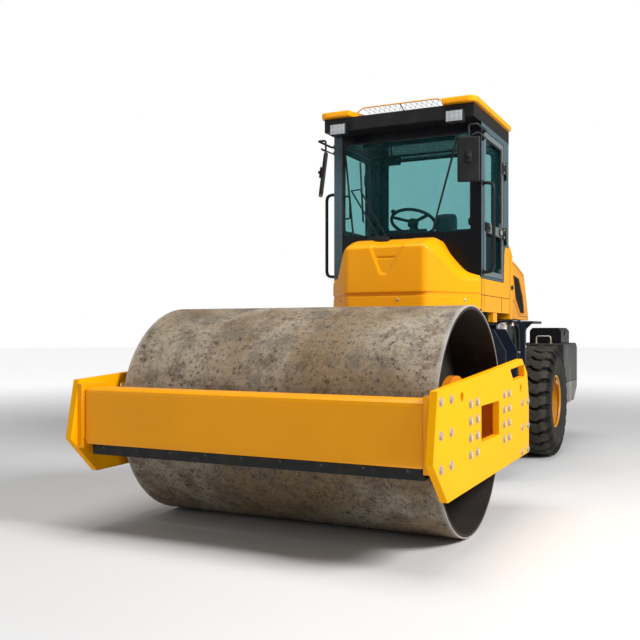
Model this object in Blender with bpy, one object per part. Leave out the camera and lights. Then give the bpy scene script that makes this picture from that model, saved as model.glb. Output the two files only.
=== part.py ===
"""Single-drum road roller: a drum frame and a cab frame joined by an articulated hitch.

Metres, +Z up. -Y is the front (drum end), +X is the machine's left side.
The origin lies on the ground under the centre of the machine's bounding box.
"""

import math

import bmesh
import bpy
from mathutils import Matrix, Vector

# ---------------------------------------------------------------- driving dimensions
DRUM_RADIUS = 0.700
DRUM_WIDTH = 2.100
DRUM_SHELL = 0.025
DRUM_RECESS = 0.300
DRUM_Y = -2.000
WHEELBASE = 3.570
HITCH_FROM_DRUM = 1.330

PLATE_THICK = 0.040
PLATE_GAP = 0.075
FRAME_NOSE = 1.080
FRAME_TAIL = 1.054

TYRE_RADIUS = 0.545
TYRE_WIDTH = 0.400
TYRE_TRACK = 1.440
RIM_RADIUS = 0.265

CAB_WIDTH = 1.310
CAB_DEPTH = 0.910
CAB_FRONT = 1.660
CAB_BASE_Z = 1.400
CAB_TOP_Z = 2.930
CAB_WALL = 0.050
GLASS = 0.006
DOOR_THICK = 0.030

TAIL_OVERHANG = 1.510
TAIL_LENGTH = 0.850
TAIL_WIDTH = 1.700

TOUCH = 0.0003
MOVE_GAP = 0.005
PIN_GAP = 0.0008

# ---------------------------------------------------------------- derived places
REAR_AXLE_Y = DRUM_Y + WHEELBASE
HITCH_Y = DRUM_Y + HITCH_FROM_DRUM
PLATE_IN = DRUM_WIDTH / 2 + PLATE_GAP
PLATE_OUT = PLATE_IN + PLATE_THICK
HITCH_Z = 0.655
CAB_X = CAB_WIDTH / 2
CAB_Y0 = DRUM_Y + CAB_FRONT
CAB_Y1 = CAB_Y0 + CAB_DEPTH
TAIL_Y1 = REAR_AXLE_Y + TAIL_OVERHANG
TAIL_Y0 = TAIL_Y1 - TAIL_LENGTH
SIDES = (("left", 1), ("right", -1))

COLOURS = {
    "yellow_paint": ((0.93, 0.48, 0.02, 1), 0.35, 0.0),
    "orange_paint": ((0.90, 0.33, 0.02, 1), 0.40, 0.0),
    "navy_paint": ((0.020, 0.032, 0.060, 1), 0.40, 0.0),
    "black_paint": ((0.012, 0.012, 0.014, 1), 0.40, 0.0),
    "dark_green_paint": ((0.045, 0.055, 0.050, 1), 0.50, 0.0),
    "grey_paint": ((0.45, 0.47, 0.48, 1), 0.40, 0.0),
    "worn_steel": ((0.22, 0.18, 0.14, 1), 0.55, 0.8),
    "chrome": ((0.75, 0.76, 0.78, 1), 0.12, 1.0),
    "cast_iron": ((0.10, 0.10, 0.11, 1), 0.60, 0.6),
    "tyre_rubber": ((0.035, 0.034, 0.033, 1), 0.80, 0.0),
    "black_plastic": ((0.020, 0.020, 0.022, 1), 0.50, 0.0),
    "black_mesh": ((0.040, 0.042, 0.045, 1), 0.55, 0.5),
    "black_fabric": ((0.025, 0.025, 0.028, 1), 0.85, 0.0),
    "glass": ((0.30, 0.50, 0.50, 0.35), 0.05, 0.0),
    "lamp_white": ((0.85, 0.87, 0.90, 1), 0.20, 0.0),
}


# ---------------------------------------------------------------- shape helpers
def clear_scene():
    """Empties the scene, so that only this machine is in it."""
    for obj in list(bpy.data.objects):
        bpy.data.objects.remove(obj, do_unlink=True)


def paint(name):
    """The named Principled material, made once."""
    found = bpy.data.materials.get(name)
    if found:
        return found
    colour, roughness, metallic = COLOURS[name]
    material = bpy.data.materials.new(name)
    material.use_nodes = True
    shader = material.node_tree.nodes["Principled BSDF"]
    shader.inputs["Base Color"].default_value = colour
    shader.inputs["Roughness"].default_value = roughness
    shader.inputs["Metallic"].default_value = metallic
    shader.inputs["Alpha"].default_value = colour[3]
    return material


def as_mesh(bm):
    """A mesh from a bmesh, its faces turned outwards."""
    bmesh.ops.recalc_face_normals(bm, faces=bm.faces)
    if bm.calc_volume(signed=True) < 0:
        bmesh.ops.reverse_faces(bm, faces=bm.faces)
    mesh = bpy.data.meshes.new("shape")
    bm.to_mesh(mesh)
    bm.free()
    return mesh


def block(x, y, z, bevel=0.0, segments=1):
    """A box between the low and high of each axis, with every edge bevelled if asked."""
    bm = bmesh.new()
    bmesh.ops.create_cube(bm, size=1)
    for v in bm.verts:
        v.co.x = x[0] if v.co.x < 0 else x[1]
        v.co.y = y[0] if v.co.y < 0 else y[1]
        v.co.z = z[0] if v.co.z < 0 else z[1]
    if bevel:
        bmesh.ops.bevel(bm, geom=bm.edges, offset=bevel, segments=segments, profile=0.6, affect="EDGES")
    return as_mesh(bm)


def prism(outline, axis, span, bevel=0.0, segments=1):
    """An outline of two coordinates, swept along the third axis between the two ends of span."""
    order = {"x": (2, 0, 1), "y": (0, 2, 1), "z": (0, 1, 2)}[axis]
    bm = bmesh.new()
    rings = []
    for end in span:
        ring = []
        for a, b in outline:
            point = (a, b, end)
            ring.append(bm.verts.new([point[i] for i in order]))
        rings.append(ring)
    bm.faces.new(rings[0])
    bm.faces.new(rings[1])
    for i in range(len(outline)):
        j = (i + 1) % len(outline)
        bm.faces.new((rings[0][i], rings[0][j], rings[1][j], rings[1][i]))
    if bevel:
        bmesh.ops.bevel(bm, geom=bm.edges, offset=bevel, segments=segments, profile=0.6, affect="EDGES")
    return as_mesh(bm)


def loft(sections):
    """A closed body through rings of equal count, each a list of points."""
    bm = bmesh.new()
    rings = [[bm.verts.new(p) for p in ring] for ring in sections]
    bm.faces.new(rings[0])
    bm.faces.new(rings[-1])
    for low, high in zip(rings, rings[1:]):
        for i in range(len(low)):
            j = (i + 1) % len(low)
            bm.faces.new((low[i], low[j], high[j], high[i]))
    return as_mesh(bm)


def turned(profile, axis, centre, segments):
    """A profile of (along, radius) pairs turned about an axis through centre."""
    bm = bmesh.new()
    rings = []
    for along, radius in profile:
        if radius == 0:
            rings.append([bm.verts.new((along, 0, 0))])
            continue
        ring = []
        for i in range(segments):
            angle = 2 * math.pi * i / segments
            ring.append(bm.verts.new((along, -radius * math.sin(angle), -radius * math.cos(angle))))
        rings.append(ring)
    closed = profile[0][1] != 0
    for k in range(len(rings) if closed else len(rings) - 1):
        low, high = rings[k], rings[(k + 1) % len(rings)]
        for i in range(segments):
            j = (i + 1) % segments
            corners = [low[i % len(low)], low[j % len(low)], high[j % len(high)], high[i % len(high)]]
            bm.faces.new(list(dict.fromkeys(corners)))
    turn = {
        "x": Matrix.Identity(4),
        "y": Matrix.Rotation(math.pi / 2, 4, "Z"),
        "z": Matrix.Rotation(-math.pi / 2, 4, "Y"),
    }[axis]
    bm.transform(Matrix.Translation(centre) @ turn)
    return as_mesh(bm)


def rod(axis, centre, span, radius, segments=20):
    """A solid round bar along an axis; span is measured from centre."""
    return turned([(span[0], 0), (span[0], radius), (span[1], radius), (span[1], 0)], axis, centre, segments)


def hexagon(axis, centre, span, radius):
    """A hexagon head standing along an axis."""
    return rod(axis, centre, span, radius, 6)


def tilted(mesh, pivot, angle, axis="X"):
    """The mesh turned about an axis through a point."""
    move = Matrix.Translation(pivot)
    mesh.transform(move @ Matrix.Rotation(angle, 4, axis) @ move.inverted())
    return mesh


def flipped(mesh):
    """The mesh mirrored to the other side of the machine."""
    bm = bmesh.new()
    bm.from_mesh(mesh)
    bm.transform(Matrix.Scale(-1, 4, (1, 0, 0)))
    return as_mesh(bm)


def sided(mesh, sign):
    """The mesh as given on the left, mirrored on the right."""
    return mesh if sign > 0 else flipped(mesh)


def swept(points, radius, sides=8):
    """A round bar along straight runs, mitred at each corner."""
    points = [Vector(p) for p in points]
    bm = bmesh.new()
    rings = []
    side = None
    for i, point in enumerate(points):
        before = (point - points[i - 1]).normalized() if i else (points[1] - point).normalized()
        after = (points[i + 1] - point).normalized() if i + 1 < len(points) else before
        along = (before + after).normalized()
        if side is None:
            side = along.orthogonal().normalized()
        side = (side - along * side.dot(along)).normalized()
        up = along.cross(side)
        stretch = 1 / max(0.5, along.dot(before))
        ring = []
        for k in range(sides):
            angle = 2 * math.pi * (k + 0.5) / sides
            ring.append(bm.verts.new(point + radius * stretch * (side * math.cos(angle) + up * math.sin(angle))))
        rings.append(ring)
    bm.faces.new(rings[0])
    bm.faces.new(rings[-1])
    for low, high in zip(rings, rings[1:]):
        for k in range(sides):
            j = (k + 1) % sides
            bm.faces.new((low[k], low[j], high[j], high[k]))
    return as_mesh(bm)


def rounded_path(corners, radius, steps=4):
    """The corner points with each inner corner replaced by a short arc-like curve."""
    corners = [Vector(c) for c in corners]
    path = [corners[0]]
    for before, corner, after in zip(corners, corners[1:], corners[2:]):
        start = corner + (before - corner).normalized() * radius
        end = corner + (after - corner).normalized() * radius
        for i in range(steps + 1):
            t = i / steps
            path.append(start * (1 - t) ** 2 + corner * 2 * t * (1 - t) + end * t**2)
    path.append(corners[-1])
    return path


def modified(obj, mesh, operation):
    """Joins the mesh to the object, or cuts it away, exactly."""
    tool = bpy.data.objects.new("tool", mesh)
    bpy.context.scene.collection.objects.link(tool)
    step = obj.modifiers.new(operation, "BOOLEAN")
    step.operation = operation
    step.solver = "EXACT"
    step.object = tool
    bpy.context.view_layer.update()
    graph = bpy.context.evaluated_depsgraph_get()
    result = bpy.data.meshes.new_from_object(obj.evaluated_get(graph))
    obj.modifiers.clear()
    obj.data = result
    bpy.data.objects.remove(tool, do_unlink=True)


def node(name, material, shapes, cuts=(), pivot=None, parent=None):
    """One named piece: its shapes joined, its cuts taken away, its origin on its joint."""
    obj = bpy.data.objects.new(name, shapes[0])
    bpy.context.scene.collection.objects.link(obj)
    for shape in shapes[1:]:
        modified(obj, shape, "UNION")
    for cut in cuts:
        modified(obj, cut, "DIFFERENCE")
    bm = bmesh.new()
    bm.from_mesh(obj.data)
    bmesh.ops.dissolve_degenerate(bm, dist=1e-5, edges=bm.edges)
    bm.to_mesh(obj.data)
    bm.free()
    if pivot is not None:
        obj.data.transform(Matrix.Translation(-Vector(pivot)))
        obj.location = pivot
    obj.data.materials.clear()
    obj.data.materials.append(paint(material))
    obj.data.shade_smooth()
    obj.data.set_sharp_from_angle(angle=math.radians(35))
    if parent:
        carrier = BODIES[parent]
        obj.parent = carrier
        obj.matrix_parent_inverse = Matrix.Translation(carrier.matrix_world.translation).inverted()
    return obj


def body(name, place, parent=None):
    """An empty on a moving body's joint, that the body's pieces hang from."""
    empty = bpy.data.objects.new(f"{name}_joint", None)
    bpy.context.scene.collection.objects.link(empty)
    empty.location = place
    if parent:
        empty.parent = BODIES[parent]
        empty.matrix_parent_inverse = Matrix.Translation(BODIES[parent].matrix_world.translation).inverted()
    BODIES[name] = empty
    bpy.context.view_layer.update()


BODIES = {}

# ---------------------------------------------------------------- drum frame
BEAM_FACE = FRAME_NOSE - 0.080
BEAM_DEPTH = 0.200
BEAM_Z = (0.550, 0.897)
BEAM_ROUND = 0.035
FLANGE_THICK = 0.030
FLANGE_Z = (0.530, 0.920)
CROSS_Y = (0.800, 0.980)
CROSS_Z = (0.450, 0.860)
BOLT_RADIUS = 0.0195
BOLT_HEIGHT = 0.012
BOLT_COLUMNS = ((-0.435, -0.300), (0.330, 0.460))
BOLT_ROWS = (0.840, 0.745, 0.652, 0.557)
WINDOW_Y = (-0.205, 0.205)
WINDOW_Z = (0.600, 0.810)
CARRIER_INSET = 0.150
CARRIER_IN = DRUM_WIDTH / 2 - CARRIER_INSET
CARRIER_THICK = 0.025
DISC_RADIUS = 0.270
STUB_RADIUS = 0.080
STUB_DEPTH = 0.130
KNUCKLE_RADIUS = 0.200
SHAFT_RADIUS = 0.100
SCRAPER_THICK = 0.012
SCRAPER_GAP = 0.012


def at_drum(*ys):
    """Row positions of distances behind the drum's axle."""
    return tuple(DRUM_Y + y for y in ys)


def build_drum():
    """The smooth drum: a heavy shell with heads set back from both ends, and a bore for each stub axle."""
    half = DRUM_WIDTH / 2
    head = half - DRUM_RECESS
    inner = DRUM_RADIUS - DRUM_SHELL
    bore = STUB_RADIUS + PIN_GAP
    floor = head - STUB_DEPTH - MOVE_GAP
    right = [(floor, 0), (floor, bore), (head, bore), (head, inner), (half, inner), (half, DRUM_RADIUS)]
    profile = [(-x, r) for x, r in right] + [(x, r) for x, r in reversed(right)]
    axle = (0, DRUM_Y, DRUM_RADIUS)
    mesh = turned(profile, "x", axle, 80)
    node("drum", "worn_steel", [mesh], pivot=axle, parent="drum")


def build_side_plates():
    """The two long side plates, with their window, hand slot, lifting holes and drum-mount bolts."""
    outline = [
        (-1.010, 0.945), (0.836, 1.051), (0.996, 0.949), (1.050, 0.775),
        (FRAME_TAIL, 0.382), (-0.845, 0.365), (-FRAME_NOSE, 0.590),
    ]
    slot = [(0.496, 0.991), (0.888, 1.011), (0.916, 0.929), (0.583, 0.914)]
    through = (PLATE_IN - 0.02, PLATE_OUT + 0.02)
    for name, sign in SIDES:
        shapes = [prism([(DRUM_Y + y, z) for y, z in outline], "x", (PLATE_IN, PLATE_OUT))]
        for column in BOLT_COLUMNS:
            for y in column:
                for z in BOLT_ROWS:
                    place = (PLATE_OUT, DRUM_Y + y, z)
                    shapes.append(hexagon("x", place, (-0.005, BOLT_HEIGHT), BOLT_RADIUS))
        cuts = [
            block(through, at_drum(*WINDOW_Y), WINDOW_Z),
            prism([(DRUM_Y + y, z) for y, z in slot], "x", through),
        ]
        for y, z in ((-0.593, 0.889), (0.799, 0.851)):
            cuts.append(rod("x", (0, DRUM_Y + y, z), through, 0.0275, 16))
        shapes = [sided(s, sign) for s in shapes]
        cuts = [sided(c, sign) for c in cuts]
        node(f"side_plate_{name}", "yellow_paint", shapes, cuts, parent="drum_frame")


def build_beams():
    """The front beam and the rear crossmember, each bolted between the side plates by end flanges."""
    reach = PLATE_IN - TOUCH
    flange = reach - FLANGE_THICK
    face = -BEAM_FACE
    inside = (-flange - 0.005, flange + 0.005)
    front = [block(inside, at_drum(face, face + BEAM_DEPTH), BEAM_Z, BEAM_ROUND, 3)]
    for sign in (1, -1):
        ends = sorted((sign * flange, sign * reach))
        front.append(block(ends, at_drum(face - 0.020, face + BEAM_DEPTH + 0.01), FLANGE_Z))
    node("front_beam", "yellow_paint", front, parent="drum_frame")

    rear = [block(inside, at_drum(*CROSS_Y), CROSS_Z, 0.02, 1)]
    for sign in (1, -1):
        ends = sorted((sign * flange, sign * reach))
        rear.append(block(ends, at_drum(CROSS_Y[0] - 0.01, CROSS_Y[1] + 0.01), (CROSS_Z[0] - 0.02, 0.90)))
    knuckle = (0, DRUM_Y, HITCH_Z)
    rear.append(rod("y", knuckle, (CROSS_Y[1] - 0.05, CROSS_Y[1] + 0.10), KNUCKLE_RADIUS, 32))
    bore = rod("y", knuckle, (CROSS_Y[1] - 0.12, CROSS_Y[1] + 0.15), SHAFT_RADIUS + PIN_GAP, 32)
    node("rear_crossmember", "yellow_paint", rear, [bore], parent="drum_frame")


def scraper_outline(face, inward):
    """An L-section blade: a hanging plate and a foot that reaches back towards the drum."""
    low, high = 0.485, BEAM_Z[0] - TOUCH
    down = DRUM_RADIUS - low
    edge = math.sqrt(DRUM_RADIUS**2 - down**2) + SCRAPER_GAP
    t = SCRAPER_THICK
    toe = inward * -edge
    return [
        (face, high), (face, low), (toe, low), (toe, low + t),
        (face + inward * t, low + t), (face + inward * t, high),
    ]


def build_scrapers():
    """The two scraper blades, hung under the front beam and under the crossmember's bracket."""
    half = PLATE_IN - FLANGE_THICK - 0.02
    front = scraper_outline(-BEAM_FACE + 0.060, 1)
    node("scraper_front", "black_paint", [prism([(DRUM_Y + y, z) for y, z in front], "x", (-half, half))],
         parent="drum_frame")
    t = SCRAPER_THICK
    low = CROSS_Z[0] - 0.050
    down = DRUM_RADIUS - low
    toe = math.sqrt(DRUM_RADIUS**2 - down**2) + SCRAPER_GAP
    top = CROSS_Z[0] - TOUCH
    rear = [(CROSS_Y[0] + 0.06, top), (CROSS_Y[0] + 0.06, low), (toe, low), (toe, low + t),
            (CROSS_Y[0] + 0.06 - t, low + t), (CROSS_Y[0] + 0.06 - t, top)]
    node("scraper_rear", "black_paint", [prism([(DRUM_Y + y, z) for y, z in rear], "x", (-half, half))],
         parent="drum_frame")


def build_drum_mounts():
    """Each drum mount: a stub axle and disc on a carrier plate, with webs out to the side plate."""
    head = DRUM_WIDTH / 2 - DRUM_RECESS
    axle = (0, DRUM_Y, DRUM_RADIUS)
    for name, sign in SIDES:
        face = PLATE_IN - TOUCH
        disc = CARRIER_IN + CARRIER_THICK
        profile = [
            (head - STUB_DEPTH, 0), (head - STUB_DEPTH, STUB_RADIUS), (head + 0.04, STUB_RADIUS),
            (head + 0.04, 0.15), (CARRIER_IN + 0.01, 0.15), (CARRIER_IN + 0.01, DISC_RADIUS),
            (disc + 0.03, DISC_RADIUS), (disc + 0.03, 0),
        ]
        shapes = [
            turned(profile, "x", axle, 40),
            block((CARRIER_IN, disc), at_drum(-0.50, 0.50), (0.47, 0.91)),
        ]
        for column in BOLT_COLUMNS:
            low, high = column[0] - 0.04, column[1] + 0.04
            middle = (low + high) / 2
            shapes.append(block((face - 0.03, face), at_drum(low, high), (0.50, 0.89)))
            shapes.append(block((disc - 0.01, face - 0.02), at_drum(middle - 0.02, middle + 0.02), (0.52, 0.87)))
        node(f"drum_mount_{name}", "orange_paint", [sided(s, sign) for s in shapes], parent="drum_frame")


# ---------------------------------------------------------------- hitch and steering
CAST_X = 0.170
CAST_Z = (0.500, 0.810)
KINGPIN_RADIUS = 0.050
EAR_Z = ((0.400, 0.460), (0.850, 0.910))
EAR_WALL = 0.110
YOKE_Y = 0.310
ARM_Z = (0.640, 0.680)
ARM_X = 0.420
ARM_BACK = 0.030
EYE_PIN = 0.022
BARREL_PIVOT = (0.500, 0.920)
BARREL_RADIUS = 0.042
BARREL_LENGTH = 0.600
ROD_RADIUS = 0.018
ROD_LENGTH = 0.620
CYLINDER_Z = 0.715


def at_hitch(*ys):
    """Row positions of distances behind the steering pivot."""
    return tuple(HITCH_Y + y for y in ys)


def build_hitch():
    """The centre joint: a casting on the steering kingpin, its roll shaft in the crossmember's bore."""
    shaft = (0, DRUM_Y, HITCH_Z)
    pin = (0, HITCH_Y, 0)
    shapes = [
        block((-CAST_X, CAST_X), at_hitch(-0.13, 0.09), CAST_Z, 0.02, 1),
        rod("y", shaft, (CROSS_Y[1] - 0.10, HITCH_FROM_DRUM - 0.10), SHAFT_RADIUS, 32),
        rod("z", pin, (EAR_Z[0][0] - 0.02, EAR_Z[1][1] + 0.02), KINGPIN_RADIUS, 24),
        rod("y", shaft, (CROSS_Y[1] + 0.10 + MOVE_GAP, HITCH_FROM_DRUM - 0.11), KNUCKLE_RADIUS - 0.03, 32),
    ]
    for sign in (1, -1):
        arm = [(0.10, -0.12), (ARM_X, -ARM_BACK - 0.05), (ARM_X + 0.05, -ARM_BACK),
               (ARM_X, -ARM_BACK + 0.05), (0.10, 0.07)]
        shapes.append(prism([(sign * x, HITCH_Y + y) for x, y in arm], "z", ARM_Z))
    node("hitch", "cast_iron", shapes, parent="hitch")


def build_cylinders():
    """The two steering cylinders, from the chassis brackets to the hitch's arms."""
    for name, sign in SIDES:
        pivot = Vector((sign * BARREL_PIVOT[0], HITCH_Y + BARREL_PIVOT[1], CYLINDER_Z))
        eye = Vector((sign * ARM_X, HITCH_Y - ARM_BACK, CYLINDER_Z))
        span = (eye - pivot).length
        turn = (eye - pivot).to_track_quat("X", "Z").to_matrix().to_4x4()
        place = Matrix.Translation(pivot) @ turn
        bore = ROD_RADIUS + PIN_GAP
        length = BARREL_LENGTH
        profile = [(0.02, 0), (0.02, BARREL_RADIUS), (length, BARREL_RADIUS), (length, bore), (0.09, bore), (0.09, 0)]
        barrel = turned(profile, "x", (0, 0, 0), 20)
        barrel_eye = rod("z", (0, 0, 0), (-0.025, 0.025), 0.045, 20)
        hole = rod("z", (0, 0, 0), (-0.06, 0.06), EYE_PIN + PIN_GAP, 16)
        start = span - ROD_LENGTH
        stem = turned([(start, 0), (start, ROD_RADIUS), (span - 0.03, ROD_RADIUS), (span - 0.03, 0)],
                      "x", (0, 0, 0), 16)
        seat = ARM_Z[1] + PIN_GAP - CYLINDER_Z
        rod_eye = rod("z", (span, 0, 0), (seat, 0.030), 0.040, 20)
        rod_pin = rod("z", (span, 0, 0), (0.020, 0.044), EYE_PIN, 16)
        for mesh in (barrel, barrel_eye, hole, stem, rod_eye, rod_pin):
            mesh.transform(place)
        node(f"steer_barrel_{name}", "black_paint", [barrel, barrel_eye], [hole],
             pivot=pivot, parent=f"steer_barrel_{name}")
        node(f"steer_rod_{name}", "chrome", [stem, rod_eye, rod_pin], pivot=pivot, parent=f"steer_rod_{name}")


# ---------------------------------------------------------------- rear frame
RAIL_X = (0.220, 0.320)
RAIL_Z = (0.620, 0.900)
BAY_X = (0.410, 0.440)
BAY_TOP = 1.350
BAY_FRONT = 2.660
DECK_Z = (1.200, 1.260)
DECK_X = 0.600
DECK_Y = (1.700, 2.330)
MOUNT_RADIUS = 0.050
AXLE_RADIUS = 0.070


def mirrored(make):
    """The two copies of a left-hand shape."""
    return [make(), flipped(make())]


def hood_lugs(tail):
    """The hood's hinge lugs behind the engine bay: two cheeks and a pin around each knuckle."""
    y, z = DRUM_Y + HOOD_HINGE[0], HOOD_HINGE[1]
    side = [(tail - 0.06, BAY_TOP - 0.07), (y + 0.02, BAY_TOP - 0.02), (y + 0.02, z + 0.018),
            (y - 0.018, z + 0.018), (y - 0.024, BAY_TOP - 0.004), (tail - 0.06, BAY_TOP - 0.004)]
    shapes = []
    for x in (-HOOD_KNUCKLE_X, HOOD_KNUCKLE_X):
        reach = KNUCKLE_HALF + PIN_GAP
        for low, high in ((-reach - 0.02, -reach), (reach, reach + 0.02)):
            shapes.append(prism(side, "x", (x + low, x + high)))
        shapes.append(rod("x", (x, y, z), (-reach - 0.01, reach + 0.01), HOOD_PIN, 12))
    return shapes


def build_chassis():
    """The rear frame: rails, hitch yoke, engine bay and the cab's platform legs."""
    tail = TAIL_Y0 - TOUCH
    front = HITCH_Y + YOKE_Y
    yoke = (front, front + 0.06)
    shapes = [block((-0.36, 0.36), yoke, (0.38, 1.02))]
    for ear in EAR_Z:
        shapes.append(block((-EAR_WALL - 0.05, EAR_WALL + 0.05), (HITCH_Y - EAR_WALL, front + 0.01), ear))
    shapes += mirrored(lambda: block(RAIL_X, (front + 0.05, tail), RAIL_Z))
    bay = DRUM_Y + BAY_FRONT
    shapes.append(block((-BAY_X[1], BAY_X[1]), (bay, bay + 0.10), (RAIL_Z[0] + 0.02, BAY_TOP)))
    shapes.append(block((-BAY_X[1], BAY_X[1]), (tail - 0.08, tail), (RAIL_Z[0] + 0.02, BAY_TOP)))
    shapes += mirrored(lambda: block(BAY_X, (bay + 0.05, tail - 0.04), (RAIL_Z[1] - 0.04, BAY_TOP)))
    pivot_y = HITCH_Y + BARREL_PIVOT[1]
    for low in (CYLINDER_Z - 0.090, CYLINDER_Z + 0.050):
        shapes += mirrored(lambda: block((RAIL_X[1] - 0.01, BARREL_PIVOT[0] + 0.04),
                                         (pivot_y - 0.05, pivot_y + 0.05), (low, low + 0.04)))
    shapes += mirrored(lambda: rod("z", (BARREL_PIVOT[0], pivot_y, CYLINDER_Z), (-0.06, 0.06), EYE_PIN, 16))
    shapes += hood_lugs(tail)
    cuts = [rod("z", (0, HITCH_Y, 0), (EAR_Z[0][0] - 0.1, EAR_Z[1][1] + 0.1), KINGPIN_RADIUS + PIN_GAP, 24)]
    node("chassis", "navy_paint", shapes, cuts)


def build_platform():
    """The cab's platform on the rails, with four rubber mounts up to the cab's floor frame."""
    y = at_drum(*DECK_Y)
    shapes = [block((-DECK_X, DECK_X), y, DECK_Z)]
    for leg in (y[0] + 0.10, y[1] - 0.10):
        shapes += mirrored(lambda: block(RAIL_X, (leg - 0.05, leg + 0.05), (RAIL_Z[1] + TOUCH, DECK_Z[0] + 0.01)))
        shapes += mirrored(lambda: rod("z", (0.50, leg, 0), (DECK_Z[1] - 0.01, CAB_BASE_Z - TOUCH), MOUNT_RADIUS, 16))
    node("cab_platform", "black_paint", shapes)


def build_axle():
    """The rear axle: a tube with a bulged centre, held under the rails, with a hub at each end."""
    centre = (0, REAR_AXLE_Y, TYRE_RADIUS)
    half = TYRE_TRACK / 2
    hub = half - 0.03
    profile = [
        (hub, 0), (hub, 0.060), (hub - 0.06, 0.060), (hub - 0.06, 0.115), (hub - 0.10, 0.115),
        (hub - 0.10, AXLE_RADIUS), (0.20, AXLE_RADIUS), (0.12, 0.16),
    ]
    full = [(-x, r) for x, r in profile] + [(x, r) for x, r in reversed(profile)]
    shapes = [turned(full, "x", centre, 28)]
    shapes += mirrored(lambda: block(RAIL_X, (REAR_AXLE_Y - 0.10, REAR_AXLE_Y + 0.10),
                                     (TYRE_RADIUS, RAIL_Z[0] - TOUCH)))
    node("rear_axle", "cast_iron", shapes)


def build_wheels():
    """The rear wheels: a tyre on a deep dished rim, turning on the axle's hub."""
    for name, sign in SIDES:
        middle = TYRE_TRACK / 2
        centre = (0, REAR_AXLE_Y, TYRE_RADIUS)
        half = TYRE_WIDTH / 2
        bead = RIM_RADIUS + TOUCH
        side = [
            (half - 0.030, bead), (half - 0.012, bead + 0.03), (half, bead + 0.12),
            (half - 0.004, TYRE_RADIUS - 0.07), (half - 0.035, TYRE_RADIUS - 0.012), (half - 0.07, TYRE_RADIUS),
        ]
        profile = [(middle - x, r) for x, r in side] + [(middle + x, r) for x, r in reversed(side)]
        tyre = turned(profile, "x", centre, 48)
        rim = half - 0.040
        dish = 0.050
        bore = 0.060 + PIN_GAP
        ring = [
            (middle + rim, RIM_RADIUS), (middle + rim, RIM_RADIUS - 0.012), (middle + dish, RIM_RADIUS - 0.018),
            (middle + dish - 0.02, RIM_RADIUS - 0.06), (middle - 0.03, 0.15), (middle - 0.03, bore),
            (middle - 0.048, bore), (middle - 0.048, 0.15), (middle + dish - 0.045, RIM_RADIUS - 0.06),
            (middle + dish - 0.045, RIM_RADIUS - 0.02), (middle - rim, RIM_RADIUS - 0.012), (middle - rim, RIM_RADIUS),
        ]
        wheel = turned(ring, "x", centre, 48)
        pivot = (sign * middle, REAR_AXLE_Y, TYRE_RADIUS)
        node(f"tyre_{name}", "tyre_rubber", [sided(tyre, sign)], pivot=pivot, parent=f"wheel_{name}")
        node(f"rim_{name}", "orange_paint", [sided(wheel, sign)], pivot=pivot, parent=f"wheel_{name}")


ENGINE_X = 0.300
ENGINE_Y = (2.950, 4.000)
ENGINE_TOP = 1.550
TANK_X = (0.440, 0.700)
TANK_Y = (2.350, 2.720)
TANK_Z = (0.780, 1.300)
FILLER_RADIUS = 0.038
POST_X = (0.705, 0.760)
POST_Y = (2.760, 2.815)
FENDER_Z = (1.312, 1.335)
FENDER_X = 0.830
FENDER_BACK = 3.160
STEP_X = 0.820
STEP_Y = (1.790, 2.190)
STEP_LOW = 0.430
STEP_PLATE = 0.012
BOX_X = (0.450, 0.790)
BOX_FROM_TAIL = (0.170, 0.670)
BOX_Y = (TAIL_Y0 - DRUM_Y + BOX_FROM_TAIL[0], TAIL_Y0 - DRUM_Y + BOX_FROM_TAIL[1])
BOX_HEIGHT = 0.170
TAIL_Z = (0.460, 1.110)


def build_engine():
    """The engine as one heavy block between the bay's sides."""
    node("engine_block", "cast_iron",
         [block((-ENGINE_X, ENGINE_X), at_drum(*ENGINE_Y), (RAIL_Z[1] + TOUCH, ENGINE_TOP), 0.03, 1)])


def build_tanks():
    """The hydraulic tank on the left with its tilted filler neck, and the fuel tank on the right."""
    names = {1: "hydraulic_tank", -1: "fuel_tank"}
    for sign, name in names.items():
        y = at_drum(*TANK_Y)
        shapes = [block((TANK_X[0] + TOUCH, TANK_X[1]), y, TANK_Z, 0.015, 1)]
        foot = (TANK_X[1] - 0.02, y[0] + 0.03, TANK_Z[1] - 0.09)
        neck = turned([(0, 0), (0, 0.024), (0.09, 0.024), (0.09, FILLER_RADIUS), (0.115, FILLER_RADIUS), (0.115, 0)],
                      "z", foot, 20)
        shapes.append(tilted(neck, foot, math.radians(48)))
        node(name, "black_paint", [sided(s, sign) for s in shapes])


def build_fenders():
    """Each fender: a post ahead of the tyre and a flat deck reaching back from it."""
    for name, sign in SIDES:
        y = at_drum(*POST_Y)
        deck = (y[0], DRUM_Y + FENDER_BACK)
        gusset = [(POST_X[1] - 0.01, FENDER_Z[0] + 0.005), (POST_X[1] - 0.01, FENDER_Z[0] - 0.11),
                  (POST_X[1] + 0.01, FENDER_Z[0] - 0.045), (FENDER_X - 0.01, FENDER_Z[0] + 0.005)]
        shapes = [
            block(POST_X, y, (0.60, FENDER_Z[0] + 0.01)),
            block((BAY_X[1] + TOUCH, FENDER_X), deck, FENDER_Z),
            prism(gusset, "y", (y[0] + 0.01, y[1] - 0.01)),
        ]
        node(f"fender_{name}", "navy_paint", [sided(s, sign) for s in shapes])


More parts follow.
